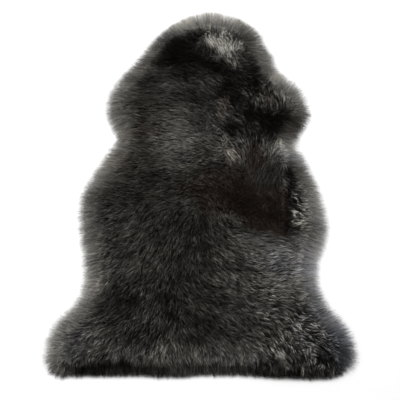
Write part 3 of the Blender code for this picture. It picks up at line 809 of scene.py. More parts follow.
def wool_tone_group():
    """The colour of a wool fibre from its tone, its warmth and the way along it."""
    found = bpy.data.node_groups.get("wool_tone")
    if found:
        return found
    wool = bpy.context.scene.sheepskin_wool
    group, entry, leave = new_group(
        "wool_tone",
        [
            ("Tone", "Float", 0.5),
            ("Warmth", "Float", 0.0),
            ("Along", "Float", 0.5),
            ("Root Shade", "Float", 0.35),
            ("Tip Light", "Float", 1.25),
            ("Cool", "Color", (*wool.cool_colour, 1.0)),
            ("Neutral", "Color", (*wool.neutral_colour, 1.0)),
            ("Warm", "Color", (*wool.warm_colour, 1.0)),
        ],
        [("Color", "Color"), ("Roughness", "Float")],
    )
    span = wool.lightest / wool.darkest
    spread = math_node(group, "POWER", span, entry["Tone"])
    bright = math_node(group, "MULTIPLY", spread, wool.darkest)
    # painted shade towards the root and painted sheen towards the tip
    ramp = group.nodes.new("ShaderNodeMapRange")
    ramp.interpolation_type = "SMOOTHSTEP"
    limits = [ramp.inputs[name] for name in ("Value", "From Min", "From Max", "To Min", "To Max")]
    shades = entry["Root Shade"], entry["Tip Light"]
    feed(group, limits, (entry["Along"], ROOT_END, TIP_START, *shades))
    bright = math_node(group, "MULTIPLY", bright, ramp.outputs["Result"])
    from_cool = math_node(group, "DIVIDE", entry["Warmth"], NEUTRAL_WARMTH)
    past_neutral = math_node(group, "SUBTRACT", entry["Warmth"], NEUTRAL_WARMTH)
    to_warm = math_node(group, "DIVIDE", past_neutral, 1 - NEUTRAL_WARMTH)
    tint = mix_colours(group, from_cool, entry["Cool"], entry["Neutral"])
    tint = mix_colours(group, to_warm, tint, entry["Warm"])
    scaled = group.nodes.new("ShaderNodeVectorMath")
    scaled.operation = "SCALE"
    group.links.new(tint, scaled.inputs[0])
    group.links.new(bright, scaled.inputs["Scale"])
    group.links.new(scaled.outputs[0], leave["Color"])
    rough = math_node(group, "MULTIPLY_ADD", entry["Tone"], SHEEN, DARK_ROUGHNESS)
    group.links.new(rough, leave["Roughness"])
    return group


def fleck_group():
    """Soft clouds and fine flecks, as a share from 0 to 1."""
    found = bpy.data.node_groups.get("flecks")
    if found:
        return found
    group, entry, leave = new_group(
        "flecks",
        [
            ("Vector", "Vector", (0, 0, 0)),
            ("Cloud Scale", "Float", 12.0),
            ("Fleck Scale", "Float", 700.0),
        ],
        [("Cloud", "Float"), ("Fleck", "Float")],
    )
    for scale, detail, out in (("Cloud Scale", 3.0, "Cloud"), ("Fleck Scale", 2.0, "Fleck")):
        pattern = group.nodes.new("ShaderNodeTexNoise")
        pattern.inputs["Detail"].default_value = detail
        group.links.new(entry["Vector"], pattern.inputs["Vector"])
        group.links.new(entry[scale], pattern.inputs["Scale"])
        group.links.new(pattern.outputs["Fac"], leave[out])
    return group


def new_material(name):
    """A material, its node tree and its Principled shader."""
    material = bpy.data.materials.new(name)
    material.use_nodes = True
    tree = material.node_tree
    return material, tree, tree.nodes["Principled BSDF"]


def place_group(tree, group, values):
    """A node that uses a shader node group, with these values in its named sockets."""
    node = tree.nodes.new("ShaderNodeGroup")
    node.node_tree = group
    for name, value in values:
        node.inputs[name].default_value = value
    return node


def fibre_material(name):
    """One of FIBRES, whose colour is read from the strand's place on the palette map."""
    found = bpy.data.materials.get(name)
    if found:
        return found
    root_shade, tip_light = FIBRES[name]
    material, tree, shader = new_material(name)
    where = tree.nodes.new("ShaderNodeUVMap")
    where.uv_map = BAKE_MAP
    split = tree.nodes.new("ShaderNodeSeparateXYZ")
    tree.links.new(where.outputs["UV"], split.inputs[0])
    rows = math_node(tree, "MULTIPLY", split.outputs["Y"], float(WARM_LEVELS))
    level = math_node(tree, "FLOOR", rows)
    along = math_node(tree, "SUBTRACT", rows, level)
    warmth = math_node(tree, "DIVIDE", level, float(WARM_LEVELS - 1))
    shades = [("Root Shade", root_shade), ("Tip Light", tip_light)]
    tone = place_group(tree, wool_tone_group(), shades)
    tree.links.new(split.outputs["X"], tone.inputs["Tone"])
    tree.links.new(warmth, tone.inputs["Warmth"])
    tree.links.new(along, tone.inputs["Along"])
    tree.links.new(tone.outputs["Color"], shader.inputs["Base Color"])
    tree.links.new(tone.outputs["Roughness"], shader.inputs["Roughness"])
    shader.inputs["Specular IOR Level"].default_value = FIBRE_SPECULAR
    return material


def flecked_material(name, dark, light, cloud_scale, fleck_scale, depth, roughness):
    """A matt surface between two colours, in clouds and flecks, with a fine nap in its bump."""
    material, tree, shader = new_material(name)
    where = tree.nodes.new("ShaderNodeTexCoord")
    scales = [("Cloud Scale", cloud_scale), ("Fleck Scale", fleck_scale)]
    flecks = place_group(tree, fleck_group(), scales)
    tree.links.new(where.outputs["Object"], flecks.inputs["Vector"])
    share = math_node(tree, "MULTIPLY", flecks.outputs["Cloud"], flecks.outputs["Fleck"])
    share = math_node(tree, "MULTIPLY", share, FLECK_GAIN)
    colour = mix_colours(tree, share, (*dark, 1.0), (*light, 1.0))
    tree.links.new(colour, shader.inputs["Base Color"])
    bump = tree.nodes.new("ShaderNodeBump")
    bump.inputs["Distance"].default_value = depth
    tree.links.new(flecks.outputs["Fleck"], bump.inputs["Height"])
    tree.links.new(bump.outputs["Normal"], shader.inputs["Normal"])
    shader.inputs["Roughness"].default_value = roughness
    shader.inputs["Specular IOR Level"].default_value = MATT_SPECULAR
    return material


# ---------------------------------------------------------------- sizes and colours to change


class WoolSettings(bpy.types.PropertyGroup):
    """The sizes, counts and colours of the wool"""

    lock_spacing: FloatProperty(
        name="Lock spacing",
        description="Distance between neighbouring locks",
        default=0.0043,
        min=0.003,
        unit="LENGTH",
    )
    strands_per_lock: IntProperty(
        name="Strands per lock", description="Strands in each lock", default=5, min=3, max=16
    )
    bunch_spacing: FloatProperty(
        name="Bunch spacing",
        description="Distance between the middles of neighbouring bunches of locks",
        default=0.011,
        min=0.006,
        unit="LENGTH",
    )
    strand_width: FloatProperty(
        name="Strand width", description="Full width of a strand", default=0.0012, unit="LENGTH"
    )
    reach: FloatProperty(
        name="Reach",
        description="How far a lock's tip lies from its root where the wool lies flat",
        default=0.030,
        unit="LENGTH",
    )
    rim_hairs: IntProperty(
        name="Rim hairs", description="Number of fine hairs round the rim", default=22000, min=0
    )
    rim_hair_width: FloatProperty(
        name="Rim hair width", description="Full width of a rim hair", default=0.0006, unit="LENGTH"
    )
    strands_per_curl: IntProperty(
        name="Strands per curl", description="Strands in each curled lock", default=5, min=1
    )
    stray_hairs: IntProperty(
        name="Stray hairs",
        description="Number of single hairs that lie across the nap",
        default=900,
        min=0,
    )
    curl: FloatProperty(
        name="Curl",
        description="How far a lock bows to the side on its way",
        default=0.0025,
        unit="LENGTH",
    )
    cool_colour: FloatVectorProperty(
        name="Cool tint",
        description="Tint of the coolest wool",
        default=(0.95, 0.965, 1.07),
        subtype="COLOR",
        max=2.0,
        size=3,
    )
    neutral_colour: FloatVectorProperty(
        name="Neutral tint",
        description="Tint of the charcoal wool",
        default=(1.008, 0.972, 0.868),
        subtype="COLOR",
        max=2.0,
        size=3,
    )
    warm_colour: FloatVectorProperty(
        name="Warm tint",
        description="Tint of the brown-black wool",
        default=(1.22, 0.90, 0.76),
        subtype="COLOR",
        max=2.0,
        size=3,
    )
    darkest: FloatProperty(
        name="Darkest", description="Albedo of the darkest wool", default=0.003, subtype="FACTOR"
    )
    lightest: FloatProperty(
        name="Lightest", description="Albedo of the lightest wool", default=0.35, subtype="FACTOR"
    )
    base_tone: FloatProperty(
        name="Base tone",
        description="Tone of the plain wool, from 0 at the darkest to 1 at the lightest",
        default=0.383,
        subtype="FACTOR",
    )


class StageSettings(bpy.types.PropertyGroup):
    """The floor's colour and the strengths of the lights"""

    floor_colour: FloatVectorProperty(
        name="Floor colour",
        description="Colour of the plain floor",
        default=(0.77, 0.77, 0.77),
        subtype="COLOR",
        size=3,
    )
    sky: FloatProperty(name="Sky", description="Strength of the even light all round", default=0.60)
    key: FloatProperty(
        name="Key light",
        description="Power of the large soft light",
        default=140.0,
        subtype="POWER",
    )


# ---------------------------------------------------------------- the locks

# A staggered grid, in shares of its spacing
ROW_SHARE = 0.866  # between its rows
SCATTER = 0.38  # how far its places stray

# Where the locks end at the rim, beyond which only the rim hairs go
RIM_MARGIN = 0.004  # inside the tips' farthest reach
HEM_MARGIN = 0.4  # share of it added at the hem
HEM_CRISPNESS = 0.75  # share of the locks' thinning that the hem does without

# The bunches that the locks join
BUNCHES_TRIED = 6  # the nearest ones, among which a lock finds its own
BUNCH_SLIMNESS = 0.5  # of a bunch: its breadth over its length
BUNCH_SWIRL = 0.5  # how unevenly they turn, in shares of the tousle
BUNCH_TOUSLE, BUNCH_TOUSLE_OVER = radians(6), radians(26)  # none below it, full ones so far on
BUNCH_RIM = 0.03  # how far in from the rim of the wool's body they are full ones
BUNCH_PULL = 0.45  # how far a lock's tip moves to its bunch's middle line
BUNCH_TONES = 0.09  # how their tones differ
BUNCH_LIGHT = 0.09  # their tone's rise, which makes up for their shaded sides
# Painted shade on the sides of each bunch, where its locks meet the next bunch's
SIDE_SHADE, SIDE_FROM, SIDE_MOST = 1.5, 0.6, 0.5  # how dark their sides are, from where and how far

# How the locks turn
RIM_TURN_DEPTH = 0.035  # how far in from the rim of the wool's body they turn outwards
RIM_TURN_MOST = 0.7  # the greatest share of the way out in their own way
SWIRLS = ((0.030, 3.1, 1.0), (0.014, 7.7, 0.5))  # size and seed of the waves, share of the tousle
LOCK_WANDER = radians(3)  # how far a lock turns from its bunch's way

# How far the locks reach and how high they stand
UPRIGHT_REACH = 0.25  # of the full reach, where the wool stands upright
REACH_RANGE = (0.8, 1.2)  # of the reach, from lock to lock
ROOT_INSET = 0.002  # how far inside the hide's edge the locks are rooted at least
TUFTS = (0.030, 11.3)  # size and seed
TUFT_LIFT, LOCK_LIFT = 0.13, 0.05  # share of the height by which tufts and single locks differ
WAVE_SHARE = 0.35  # of the curl, a lock's second bend
LOWEST = 0.0006  # of a strand's middle line above the floor
LOFT = 0.005  # the highest that a strand stands above the solid's top

# How unruly the wool is, which makes its tones uneven
TOUSLE_UNRULY, TOUSLE_UNRULY_OVER = 0.2, radians(20)  # with no tousle, and the tousle that adds 1
ORDERLY_UNRULY, WILDEST_UNRULY = 0.5, 2.0  # the least and the most
VELVET_UNRULY = 0.25  # share of it left in the velvety place
RIM_UNRULY, RIM_UNRULY_DEPTH = 0.35, 0.05  # share left at the rim, and the depth that adds 1

# How far tones and warmths differ
CLUMPS, HEM_TUFTS = (0.012, 15.9), (0.014, 9.1)  # size and seed
# TUFT_TONE is painted light and shade: the tufts that the same waves lift are lighter, the sunken
# ones darker
TUFT_TONE, CLUMP_TONE, HEM_TONE = 0.06, 0.05, 0.12
LOCK_TONE, FLAT_LOCK_TONE = 0.055, 0.08  # from lock to lock, and what flat wool adds to it
STRAND_TONE = 0.17  # from strand to strand
EVEN_LEANING, DARK_LEANING = 0.30, 0.95  # shares of an even and of a one-sided spread
WARMTH_WAVES, WARMTH_WAVE = (0.06, 23.0), 0.05  # their size and seed, and how far they go
STRAND_WARMTHS = (-0.07, 0.10)  # added from strand to strand

# The strands within a lock
LOCK_BREADTH = 0.85  # of the lock spacing, how far from a lock's middle they are rooted
GATHERS = (0.50, 0.97)  # how far they draw in to its middle line at the tip
LOOSEST = 0.9  # the most that upright wool, the hem and the rim take from that
UNEVEN_ENDS, EVENED = 0.16, 0.7  # of the reach, how unevenly they end, and how much less at rims
VELVET_DEPTH, ROUGH_DEPTH = 0.10, 0.24  # how deep the deepest lie, and what rough wool adds to it
DEPTH_LEAN = 1.6  # above 1, most of them lie near the top
HEIGHT_SHARES = (0.50, 0.80, 0.95, 1.0)  # of the wool's height, at each point of a strand
BOWED = (0.0, 0.8, 0.9, 0.0)  # of a lock's bow, there
WAVED = (0.0, 1.0, -1.0, 0.0)  # of its wave, there

# The rim hairs
RIM_NEAR, RIM_FAR = 0.030, 0.056  # from the hide's edge to the shortest and the longest tips
RIM_ROOTS = (-0.022, 0.014)  # past the hide's edge, where they start
RIM_LEAN = 1.2  # above 1, most of them are short
CROWN_RIM = (0.030, 0.440, 0.150, 0.090, 0)  # the patch where they end evenly, as at the hem
EVEN_FAR = 0.7  # where the even ones end, from RIM_NEAR at 0 to RIM_FAR at 1
HEM_EVEN, CROWN_EVEN = 0.75, 0.92  # how even they are at the hem and the crown
HEM_SHORTER, HEM_LOWER = 0.20, 0.7  # how much shorter and lower they are at the hem
RIM_OUTWARDS = 0.6  # the share of the way out in their own way, which else is the nap's
RIM_WANDER = 0.22  # radians by which they turn from it
RIM_BOW = 0.002  # how far they bend to the side
RIM_START_HEIGHTS = (0.3, 0.88)  # of the wool's height
RIM_TIP_HEIGHTS = (0.0015, 0.009)  # above the floor
# Painted light that comes through the rim hairs, and painted shade on the hem's front
RIM_LIGHT, HEM_SHADE = 0.08, 0.14  # their tone's rise, and its fall at the hem
RIM_STREAKS = (0.006, 5.3)  # size and seed
STREAK_TONE, HEM_STREAK_TONE, RIM_HAIR_TONE = 0.08, 0.18, 0.06  # how far the tones differ

# A curled strand's height, in shares of the wool's
CURL_HEIGHT, CURL_RISE = 0.90, 0.07  # at its start, and added up to its end

# Places of curled locks that lie loose on the wool
CURLS = (
    # name, x, y, half length, half width, heading, how many, way, turn in degrees, length
    ("hollow_lip", 0.250, -0.060, 0.040, 0.014, 95, 24, 200, 60, 0.034),
    ("hollow_fold", 0.186, -0.036, 0.024, 0.002, -6, 8, 178, 18, 0.034),
    ("shoulder_side", 0.254, 0.222, 0.014, 0.012, 40, 8, 50, 60, 0.024),
    ("haunch_right", 0.230, -0.395, 0.085, 0.036, 0, 30, 310, 24, 0.040),
    ("haunch_left", -0.270, -0.400, 0.070, 0.035, 0, 46, 220, 30, 0.034),
    ("hem_left", -0.260, -0.466, 0.080, 0.012, 0, 34, 262, 24, 0.026),
    ("hem_right", 0.250, -0.470, 0.110, 0.012, 0, 34, 282, 24, 0.026),
)
CURL_INSET = 0.020  # how far inside the hide's edge a curled lock starts at least

# How the curled locks differ
CURL_CROWDING = 0.55  # of the half length and half width, their spread about the middle
CURL_WAYS, CURL_TURNS = 35, 30  # degrees
CURL_LENGTHS = (0.7, 1.25)
CURL_LIGHT, CURL_TONES = 0.08, 0.06  # their tone's rise and its spread
CURL_SHIFT = 0.6  # the share of the patches' shift of tone that they take on

# How the strands of one curled lock differ
CURL_BREADTH = 0.0009  # between their starts
CURL_STRAND_WAYS = 0.10  # radians
CURL_STRAND_TURNS, CURL_STRAND_LENGTHS = (0.9, 1.1), (0.85, 1.1)
CURL_LIFTS = (0.001, 0.004)  # how high they arch
CURL_STRAND_TONES = 0.05

# The stray hairs
STRAY_TRIES = 4  # places drawn for each hair, of which the ones on the hide are used
STRAY_WAYS, STRAY_TURNS = 0.45, 0.5  # radians
STRAY_LENGTHS = (0.5, 1.1)  # of the wool's reach
STRAY_LIFTS = (0.0, 0.003)
STRAY_LIGHT, STRAY_TONES = 0.10, 0.08  # their tone's rise and its spread


def staggered(low, high, spacing, draw):
    """Places of an unevenly staggered grid between two corners."""
    columns = np.arange(low[0], high[0], spacing)
    rows = np.arange(low[1], high[1], spacing * ROW_SHARE)
    x, y = np.meshgrid(columns, rows)
    x = x + spacing / 2 * (np.arange(len(rows)) % 2)[:, None]
    places = np.stack([x.ravel(), y.ravel()], axis=1)
    return places + draw.uniform(-SCATTER, SCATTER, places.shape) * spacing


def lock_places(bed, spacing, draw):
    """Where the locks' tips lie: all over the wool, thinner at its rim."""
    places = staggered(bed.grid.places.min(axis=0), bed.grid.places.max(axis=0), spacing, draw)
    hem = hem_share(places, bed.way_out(places))
    farthest = OVERHANG + SKIRT_REACH - RIM_MARGIN * (1 + HEM_MARGIN * hem)
    thinning = SKIRT_REACH * (1 - HEM_CRISPNESS * hem)
    keep = np.clip((bed.inset(places) + farthest) / thinning, 0, 1)
    return places[draw.random(len(places)) < keep]


def turned(ways, angles):
    """Each flat direction turned by its angle."""
    cos, sin = np.cos(angles), np.sin(angles)
    x, y = ways[:, 0], ways[:, 1]
    return np.stack([x * cos - y * sin, x * sin + y * cos], axis=1)


def leftward(ways):
    """Each flat direction turned to its left."""
    return turned(ways, np.full(len(ways), np.pi / 2))


def nearest_bunches(tips, way, spacing, draw):
    """The middles of bunches of locks, and for each tip the number of its bunch. A bunch is longer
    along the nap than across it."""
    middles = staggered(tips.min(axis=0) - spacing, tips.max(axis=0) + spacing, spacing, draw)
    tree = KDTree(len(middles))
    for number, (x, y) in enumerate(middles):
        tree.insert((x, y, 0.0), number)
    tree.balance()
    nearest = [[found[1] for found in tree.find_n((x, y, 0.0), BUNCHES_TRIED)] for x, y in tips]
    near = np.array(nearest)
    away = tips[:, None] - middles[near]
    along = (away * way[:, None]).sum(axis=2)
    across = (away * leftward(way)[:, None]).sum(axis=2)
    best = np.argmin(across**2 + (BUNCH_SLIMNESS * along) ** 2, axis=1)
    return middles, near[np.arange(len(tips)), best]


def dark_leaning(draw, count):
    """Uneven numbers with a mean of 0, a spread of about 1 and a long tail on the dark side."""
    even = draw.normal(0, 1, count)
    return EVEN_LEANING * even + DARK_LEANING * (1 - draw.exponential(1, count))


def lock_strands(bed, tips, per_lock, draw):
    """The four points, tone and warmth of every strand of the locks with these tips."""
    wool = bpy.context.scene.sheepskin_wool
    count = len(tips)
    way, lay, tousle = nap_at(tips)
    inset = bed.inset(tips)
    out = bed.way_out(tips)
    rough = 1 - hollow_share(tips)
    hem = hem_share(tips, out)

    # Which way each lock lies, and how far it joins its bunch
    rim_turn = np.clip(1 - (inset + OVERHANG) / RIM_TURN_DEPTH, 0, RIM_TURN_MOST)[:, None]
    way = unit(way * (1 - rim_turn) + out * rim_turn)
    swirl = sum(share * unevenness(tips, size, seed) for size, seed, share in SWIRLS)
    middles, bunch = nearest_bunches(tips, way, wool.bunch_spacing, draw)
    swirl = swirl + BUNCH_SWIRL * draw.normal(0, 1, len(middles))[bunch]
    way = turned(way, tousle * swirl + draw.normal(0, LOCK_WANDER, count))
    together = np.clip((tousle - BUNCH_TOUSLE) / BUNCH_TOUSLE_OVER, 0, 1)
    together = rough * together * (1 - hem)
    together = together * np.clip((inset + OVERHANG) / BUNCH_RIM, 0, 1)
    left = leftward(way)
    off_middle = ((tips - middles[bunch]) * left).sum(axis=1)
    tips = tips - left * (BUNCH_PULL * together * off_middle)[:, None]

    # How far it reaches from its root, how high it stands and how it bends
    reach = wool.reach * (UPRIGHT_REACH + (1 - UPRIGHT_REACH) * lay)
    reach = reach * draw.uniform(*REACH_RANGE, count)
    roots = tips - way * reach[:, None]
    short = np.clip(ROOT_INSET - bed.inset(roots), 0, None)
    roots = roots - bed.way_out(roots) * short[:, None]
    tuft = unevenness(tips, *TUFTS)
    lift = 1 + rough * (TUFT_LIFT * tuft + draw.normal(0, LOCK_LIFT, count))
    bow = wool.curl * draw.normal(0, 1.0, count) * lay
    wave = WAVE_SHARE * wool.curl * draw.normal(0, 1.0, count) * lay

    # Its tone and warmth
    # painted shade on the sides of the bunch
    shaded = np.clip(2 * np.abs(off_middle) / wool.bunch_spacing - SIDE_FROM, 0, SIDE_MOST)
    bunch_tone = BUNCH_TONES * draw.normal(0, 1, len(middles))[bunch] - SIDE_SHADE * shaded
    shift, warmth = tone_at(tips)
    unruly = TOUSLE_UNRULY + tousle / TOUSLE_UNRULY_OVER
    unruly = np.clip(unruly, ORDERLY_UNRULY, WILDEST_UNRULY)
    unruly = (VELVET_UNRULY + (1 - VELVET_UNRULY) * rough) * unruly
    kept = RIM_UNRULY + (inset + OVERHANG) / RIM_UNRULY_DEPTH + (1 - RIM_UNRULY) * hem
    unruly = unruly * np.clip(kept, RIM_UNRULY, 1)
    # painted light on the lifted tufts and painted shade in the sunken ones
    mixed = TUFT_TONE * tuft + CLUMP_TONE * unruly * unevenness(tips, *CLUMPS)
    mixed = mixed + (LOCK_TONE + FLAT_LOCK_TONE * lay) * dark_leaning(draw, count)
    mixed = mixed + together * (bunch_tone + BUNCH_LIGHT)
    mixed = mixed + HEM_TONE * hem * unevenness(tips, *HEM_TUFTS)
    tone = wool.base_tone + shift + unruly * mixed + rim_paleness(tips, inset, out)
    warmth = warmth + NEUTRAL_WARMTH + WARMTH_WAVE * unevenness(tips, *WARMTH_WAVES)

    # The strands round its middle line
    lock = np.repeat(np.arange(count), per_lock)
    total = len(lock)
    angle = draw.uniform(0, 2 * np.pi, total)
    radius = wool.lock_spacing * LOCK_BREADTH * np.sqrt(draw.random(total))
    spread = np.stack([np.cos(angle), np.sin(angle)], axis=1) * radius[:, None]
    at_rim = np.clip(-inset / OVERHANG, 0, 1)
    loose = np.clip(np.clip(1 - lay, 0, 1) + hem + LOOSEST * at_rim, 0, LOOSEST)
    gather = (draw.uniform(*GATHERS, total) * (1 - loose[lock]))[:, None]
    uneven = reach * (1 - EVENED * np.maximum(hem, at_rim))
    ahead = draw.normal(0, UNEVEN_ENDS, total) * uneven[lock]
    start = roots[lock] + spread
    end = tips[lock] + spread * (1 - gather) + way[lock] * ahead[:, None]
    left = leftward(way[lock])
    deepest = VELVET_DEPTH + ROUGH_DEPTH * rough[lock]
    depth = 1 - deepest * draw.random(total) ** DEPTH_LEAN
    centres = np.empty((total, len(STRAND_STEPS), 3))
    for k, step in enumerate(STRAND_STEPS):
        sideways = bow[lock] * BOWED[k] + wave[lock] * WAVED[k]
        place = start + (end - start) * step + left * sideways[:, None]
        height = bed.height(place) * HEIGHT_SHARES[k] * (1 - step + depth * step) * lift[lock]
        centres[:, k, :2] = place
        centres[:, k, 2] = np.clip(height, LOWEST, CAD_HIGH.z + LOFT)
    tone = tone[lock] + STRAND_TONE * unruly[lock] * dark_leaning(draw, total)
    return centres, tone, warmth[lock] + draw.uniform(*STRAND_WARMTHS, total)


def rim_strands(bed, count, draw):
    """The four points, tone and warmth of the fine hairs that stand out past the wool's rim."""
    wool = bpy.context.scene.sheepskin_wool
    side = np.roll(bed.loop, -1, axis=0) - bed.loop
    length = np.linalg.norm(side, axis=1)
    part = draw.choice(len(length), count, p=length / length.sum())
    edge = bed.loop[part] + side[part] * draw.random(count)[:, None]
    out = bed.way_out(edge)
    hem = hem_share(edge, out)
    start = edge + out * draw.uniform(*RIM_ROOTS, count)[:, None]
    even = np.maximum(HEM_EVEN * hem, CROWN_EVEN * patch_share(edge, *CROWN_RIM))
    far = even * EVEN_FAR + (1 - even) * draw.random(count) ** RIM_LEAN
    reach = RIM_NEAR + (RIM_FAR - RIM_NEAR) * far
    reach = reach * bed.stretch(edge) * (1 - HEM_SHORTER * hem)
    way = unit(RIM_OUTWARDS * out + (1 - RIM_OUTWARDS) * nap_at(edge)[0])
    end = edge + turned(way, draw.normal(0, RIM_WANDER, count)) * reach[:, None]
    bow = leftward(out) * draw.normal(0, RIM_BOW, count)[:, None]
    high = bed.height(start) * draw.uniform(*RIM_START_HEIGHTS, count) * (1 - HEM_LOWER * hem)
    low = draw.uniform(*RIM_TIP_HEIGHTS, count)
    centres = np.empty((count, len(STRAND_STEPS), 3))
    for k, step in enumerate(STRAND_STEPS):
        centres[:, k, :2] = start + (end - start) * step + bow * (4 * step * (1 - step))
        centres[:, k, 2] = high + (low - high) * step**2
    shift, warmth = tone_at(edge + out * OVERHANG)
    # painted light of the backlit rim, less painted shade on the hem's front
    paleness = RIM_LIGHT + rim_paleness(edge, -reach, out) - HEM_SHADE * hem
    streaks = STREAK_TONE * unevenness(edge, *RIM_STREAKS)
    streaks = streaks + HEM_STREAK_TONE * hem * unevenness(edge, *HEM_TUFTS)
    tone = wool.base_tone + shift + paleness + streaks
    tone = tone + RIM_HAIR_TONE * dark_leaning(draw, count)
    return centres, tone, warmth + NEUTRAL_WARMTH + draw.uniform(*STRAND_WARMTHS, count)


def curled_points(bed, starts, headings, turns, lengths, lifts):
    """The points of strands that lie on the wool and turn steadily as they go."""
    count, last = len(starts), len(CURL_STEPS) - 1
    centres = np.empty((count, last + 1, 3))
    place = starts.copy()
    for k, step in enumerate(CURL_STEPS):
        centres[:, k, :2] = place
        rise = bed.height(place) * (CURL_HEIGHT + CURL_RISE * step) + lifts * np.sin(np.pi * step)
        centres[:, k, 2] = np.clip(rise, LOWEST, CAD_HIGH.z + LOFT)
        heading = headings + turns * step
        way = np.stack([np.cos(heading), np.sin(heading)], axis=1)
        place = place + way * lengths[:, None] / last
    return centres


def curled_strands(bed, draw):
    """The points, tone and warmth of every strand of the curled locks."""
    wool = bpy.context.scene.sheepskin_wool
    rows = []
    for _, x, y, half_length, half_width, heading, number, way, turn, length in CURLS:
        spot = draw.normal(0, CURL_CROWDING, (number, 2)) * (half_length, half_width)
        places = turned(spot, np.full(number, radians(heading))) + (x, y)
        ways = np.radians(draw.normal(way, CURL_WAYS, number))
        turns = np.radians(draw.normal(turn, CURL_TURNS, number))
        turns = turns * draw.choice([-1, 1], number)
        lengths = length * draw.uniform(*CURL_LENGTHS, number)
        rows.append(np.column_stack([places, ways, turns, lengths]))
    locks = np.concatenate(rows)
    locks = locks[bed.inset(locks[:, :2]) > CURL_INSET]
    strand = np.repeat(np.arange(len(locks)), wool.strands_per_curl)
    count = len(strand)
    starts = locks[strand, :2] + draw.normal(0, CURL_BREADTH, (count, 2))
    ways = locks[strand, 2] + draw.normal(0, CURL_STRAND_WAYS, count)
    turns = locks[strand, 3] * draw.uniform(*CURL_STRAND_TURNS, count)
    lengths = locks[strand, 4] * draw.uniform(*CURL_STRAND_LENGTHS, count)
    lifts = draw.uniform(*CURL_LIFTS, count)
    centres = curled_points(bed, starts, ways, turns, lengths, lifts)
    shift, warmth = tone_at(locks[:, :2])
    tone = wool.base_tone + CURL_SHIFT * shift + CURL_LIGHT
    tone = tone + draw.normal(0, CURL_TONES, len(locks))
    tones = tone[strand] + draw.normal(0, CURL_STRAND_TONES, count)
    return centres, tones, warmth[strand] + NEUTRAL_WARMTH


def stray_strands(bed, draw):
    """The points, tone and warmth of every stray hair."""
    wool = bpy.context.scene.sheepskin_wool
    low, high = bed.grid.places.min(axis=0), bed.grid.places.max(axis=0)
    starts = draw.uniform(low, high, (STRAY_TRIES * wool.stray_hairs, 2))
    starts = starts[bed.inset(starts) > 0][: wool.stray_hairs]
    count = len(starts)
    way = nap_at(starts)[0]
    ways = np.arctan2(way[:, 1], way[:, 0]) + draw.normal(0, STRAY_WAYS, count)
    turns = draw.normal(0, STRAY_TURNS, count)
    lengths = wool.reach * draw.uniform(*STRAY_LENGTHS, count)
    lifts = draw.uniform(*STRAY_LIFTS, count)
    centres = curled_points(bed, starts, ways, turns, lengths, lifts)
    shift, warmth = tone_at(starts)
    tones = wool.base_tone + shift + draw.normal(STRAY_LIGHT, STRAY_TONES, count)
    return centres, tones, warmth + NEUTRAL_WARMTH


# ---------------------------------------------------------------- an operator for each kind of piece

HIDE_THICKNESS = 0.0025

# The under-wool's mat
MAT_INSET = -0.004  # where it ends, just outside the hide's edge
MAT_PITCH = 0.009  # the size of its faces
MAT_CUT = 0.3  # of the wool's height, below which its shell is cut away
MAT_DROP = Vector((0, 0, -0.01))  # how its open edge is drawn down, before it is pressed flat
MAT_SHARE = 0.60  # of the wool's height that it takes up
MAT_FLOOR = 0.0022  # its lowest points above the floor

FLEECE_BANDS = ("neck", "shoulders", "back", "loins", "haunches")
FLEECE_SEED, RIM_SEED, LOOSE_SEED = 47, 7, 29  # where each kind's random draws start

STRAND_KINDS = {
    # kind: material, widths over the set width, spread of the strands' rolls in radians
    "fleece": ("charcoal_wool", (0.7, 1.25), 0.6),
    "rim": ("rim_wool", (0.7, 1.3), 0.5),
    "curled": ("loose_wool", (0.35, 0.75), 0.5),
    "stray": ("loose_wool", (0.5, 0.9), 0.5),
}


def add_strands(name, kind, strands, steps, width, draw):
    """Adds a piece of wool of one of STRAND_KINDS from its strands' points, tones and warmths."""
    centres, tones, warmths = strands
    material, width_range, roll = STRAND_KINDS[kind]
    widths = width * draw.uniform(*width_range, len(centres))
    rolls = draw.normal(0, roll, len(centres))
    mesh = strand_mesh(name, centres, steps, widths, rolls, tones, warmths)
    return add_piece(name, mesh, fibre_material(material))


def deselect_all():
    """Leaves no object selected."""
    bpy.ops.object.select_all(action="DESELECT")


def make_active(piece):
    """Selects this object alone and makes it the active one."""
    deselect_all()
    piece.select_set(True)
    bpy.context.view_layer.objects.active = piece


def select_only(piece, chosen):
    """Selects these vertices of a mesh and nothing else of it."""
    piece.data.edges.foreach_set("select", np.zeros(len(piece.data.edges), bool))
    piece.data.polygons.foreach_set("select", np.zeros(len(piece.data.polygons), bool))
    piece.data.vertices.foreach_set("select", chosen)


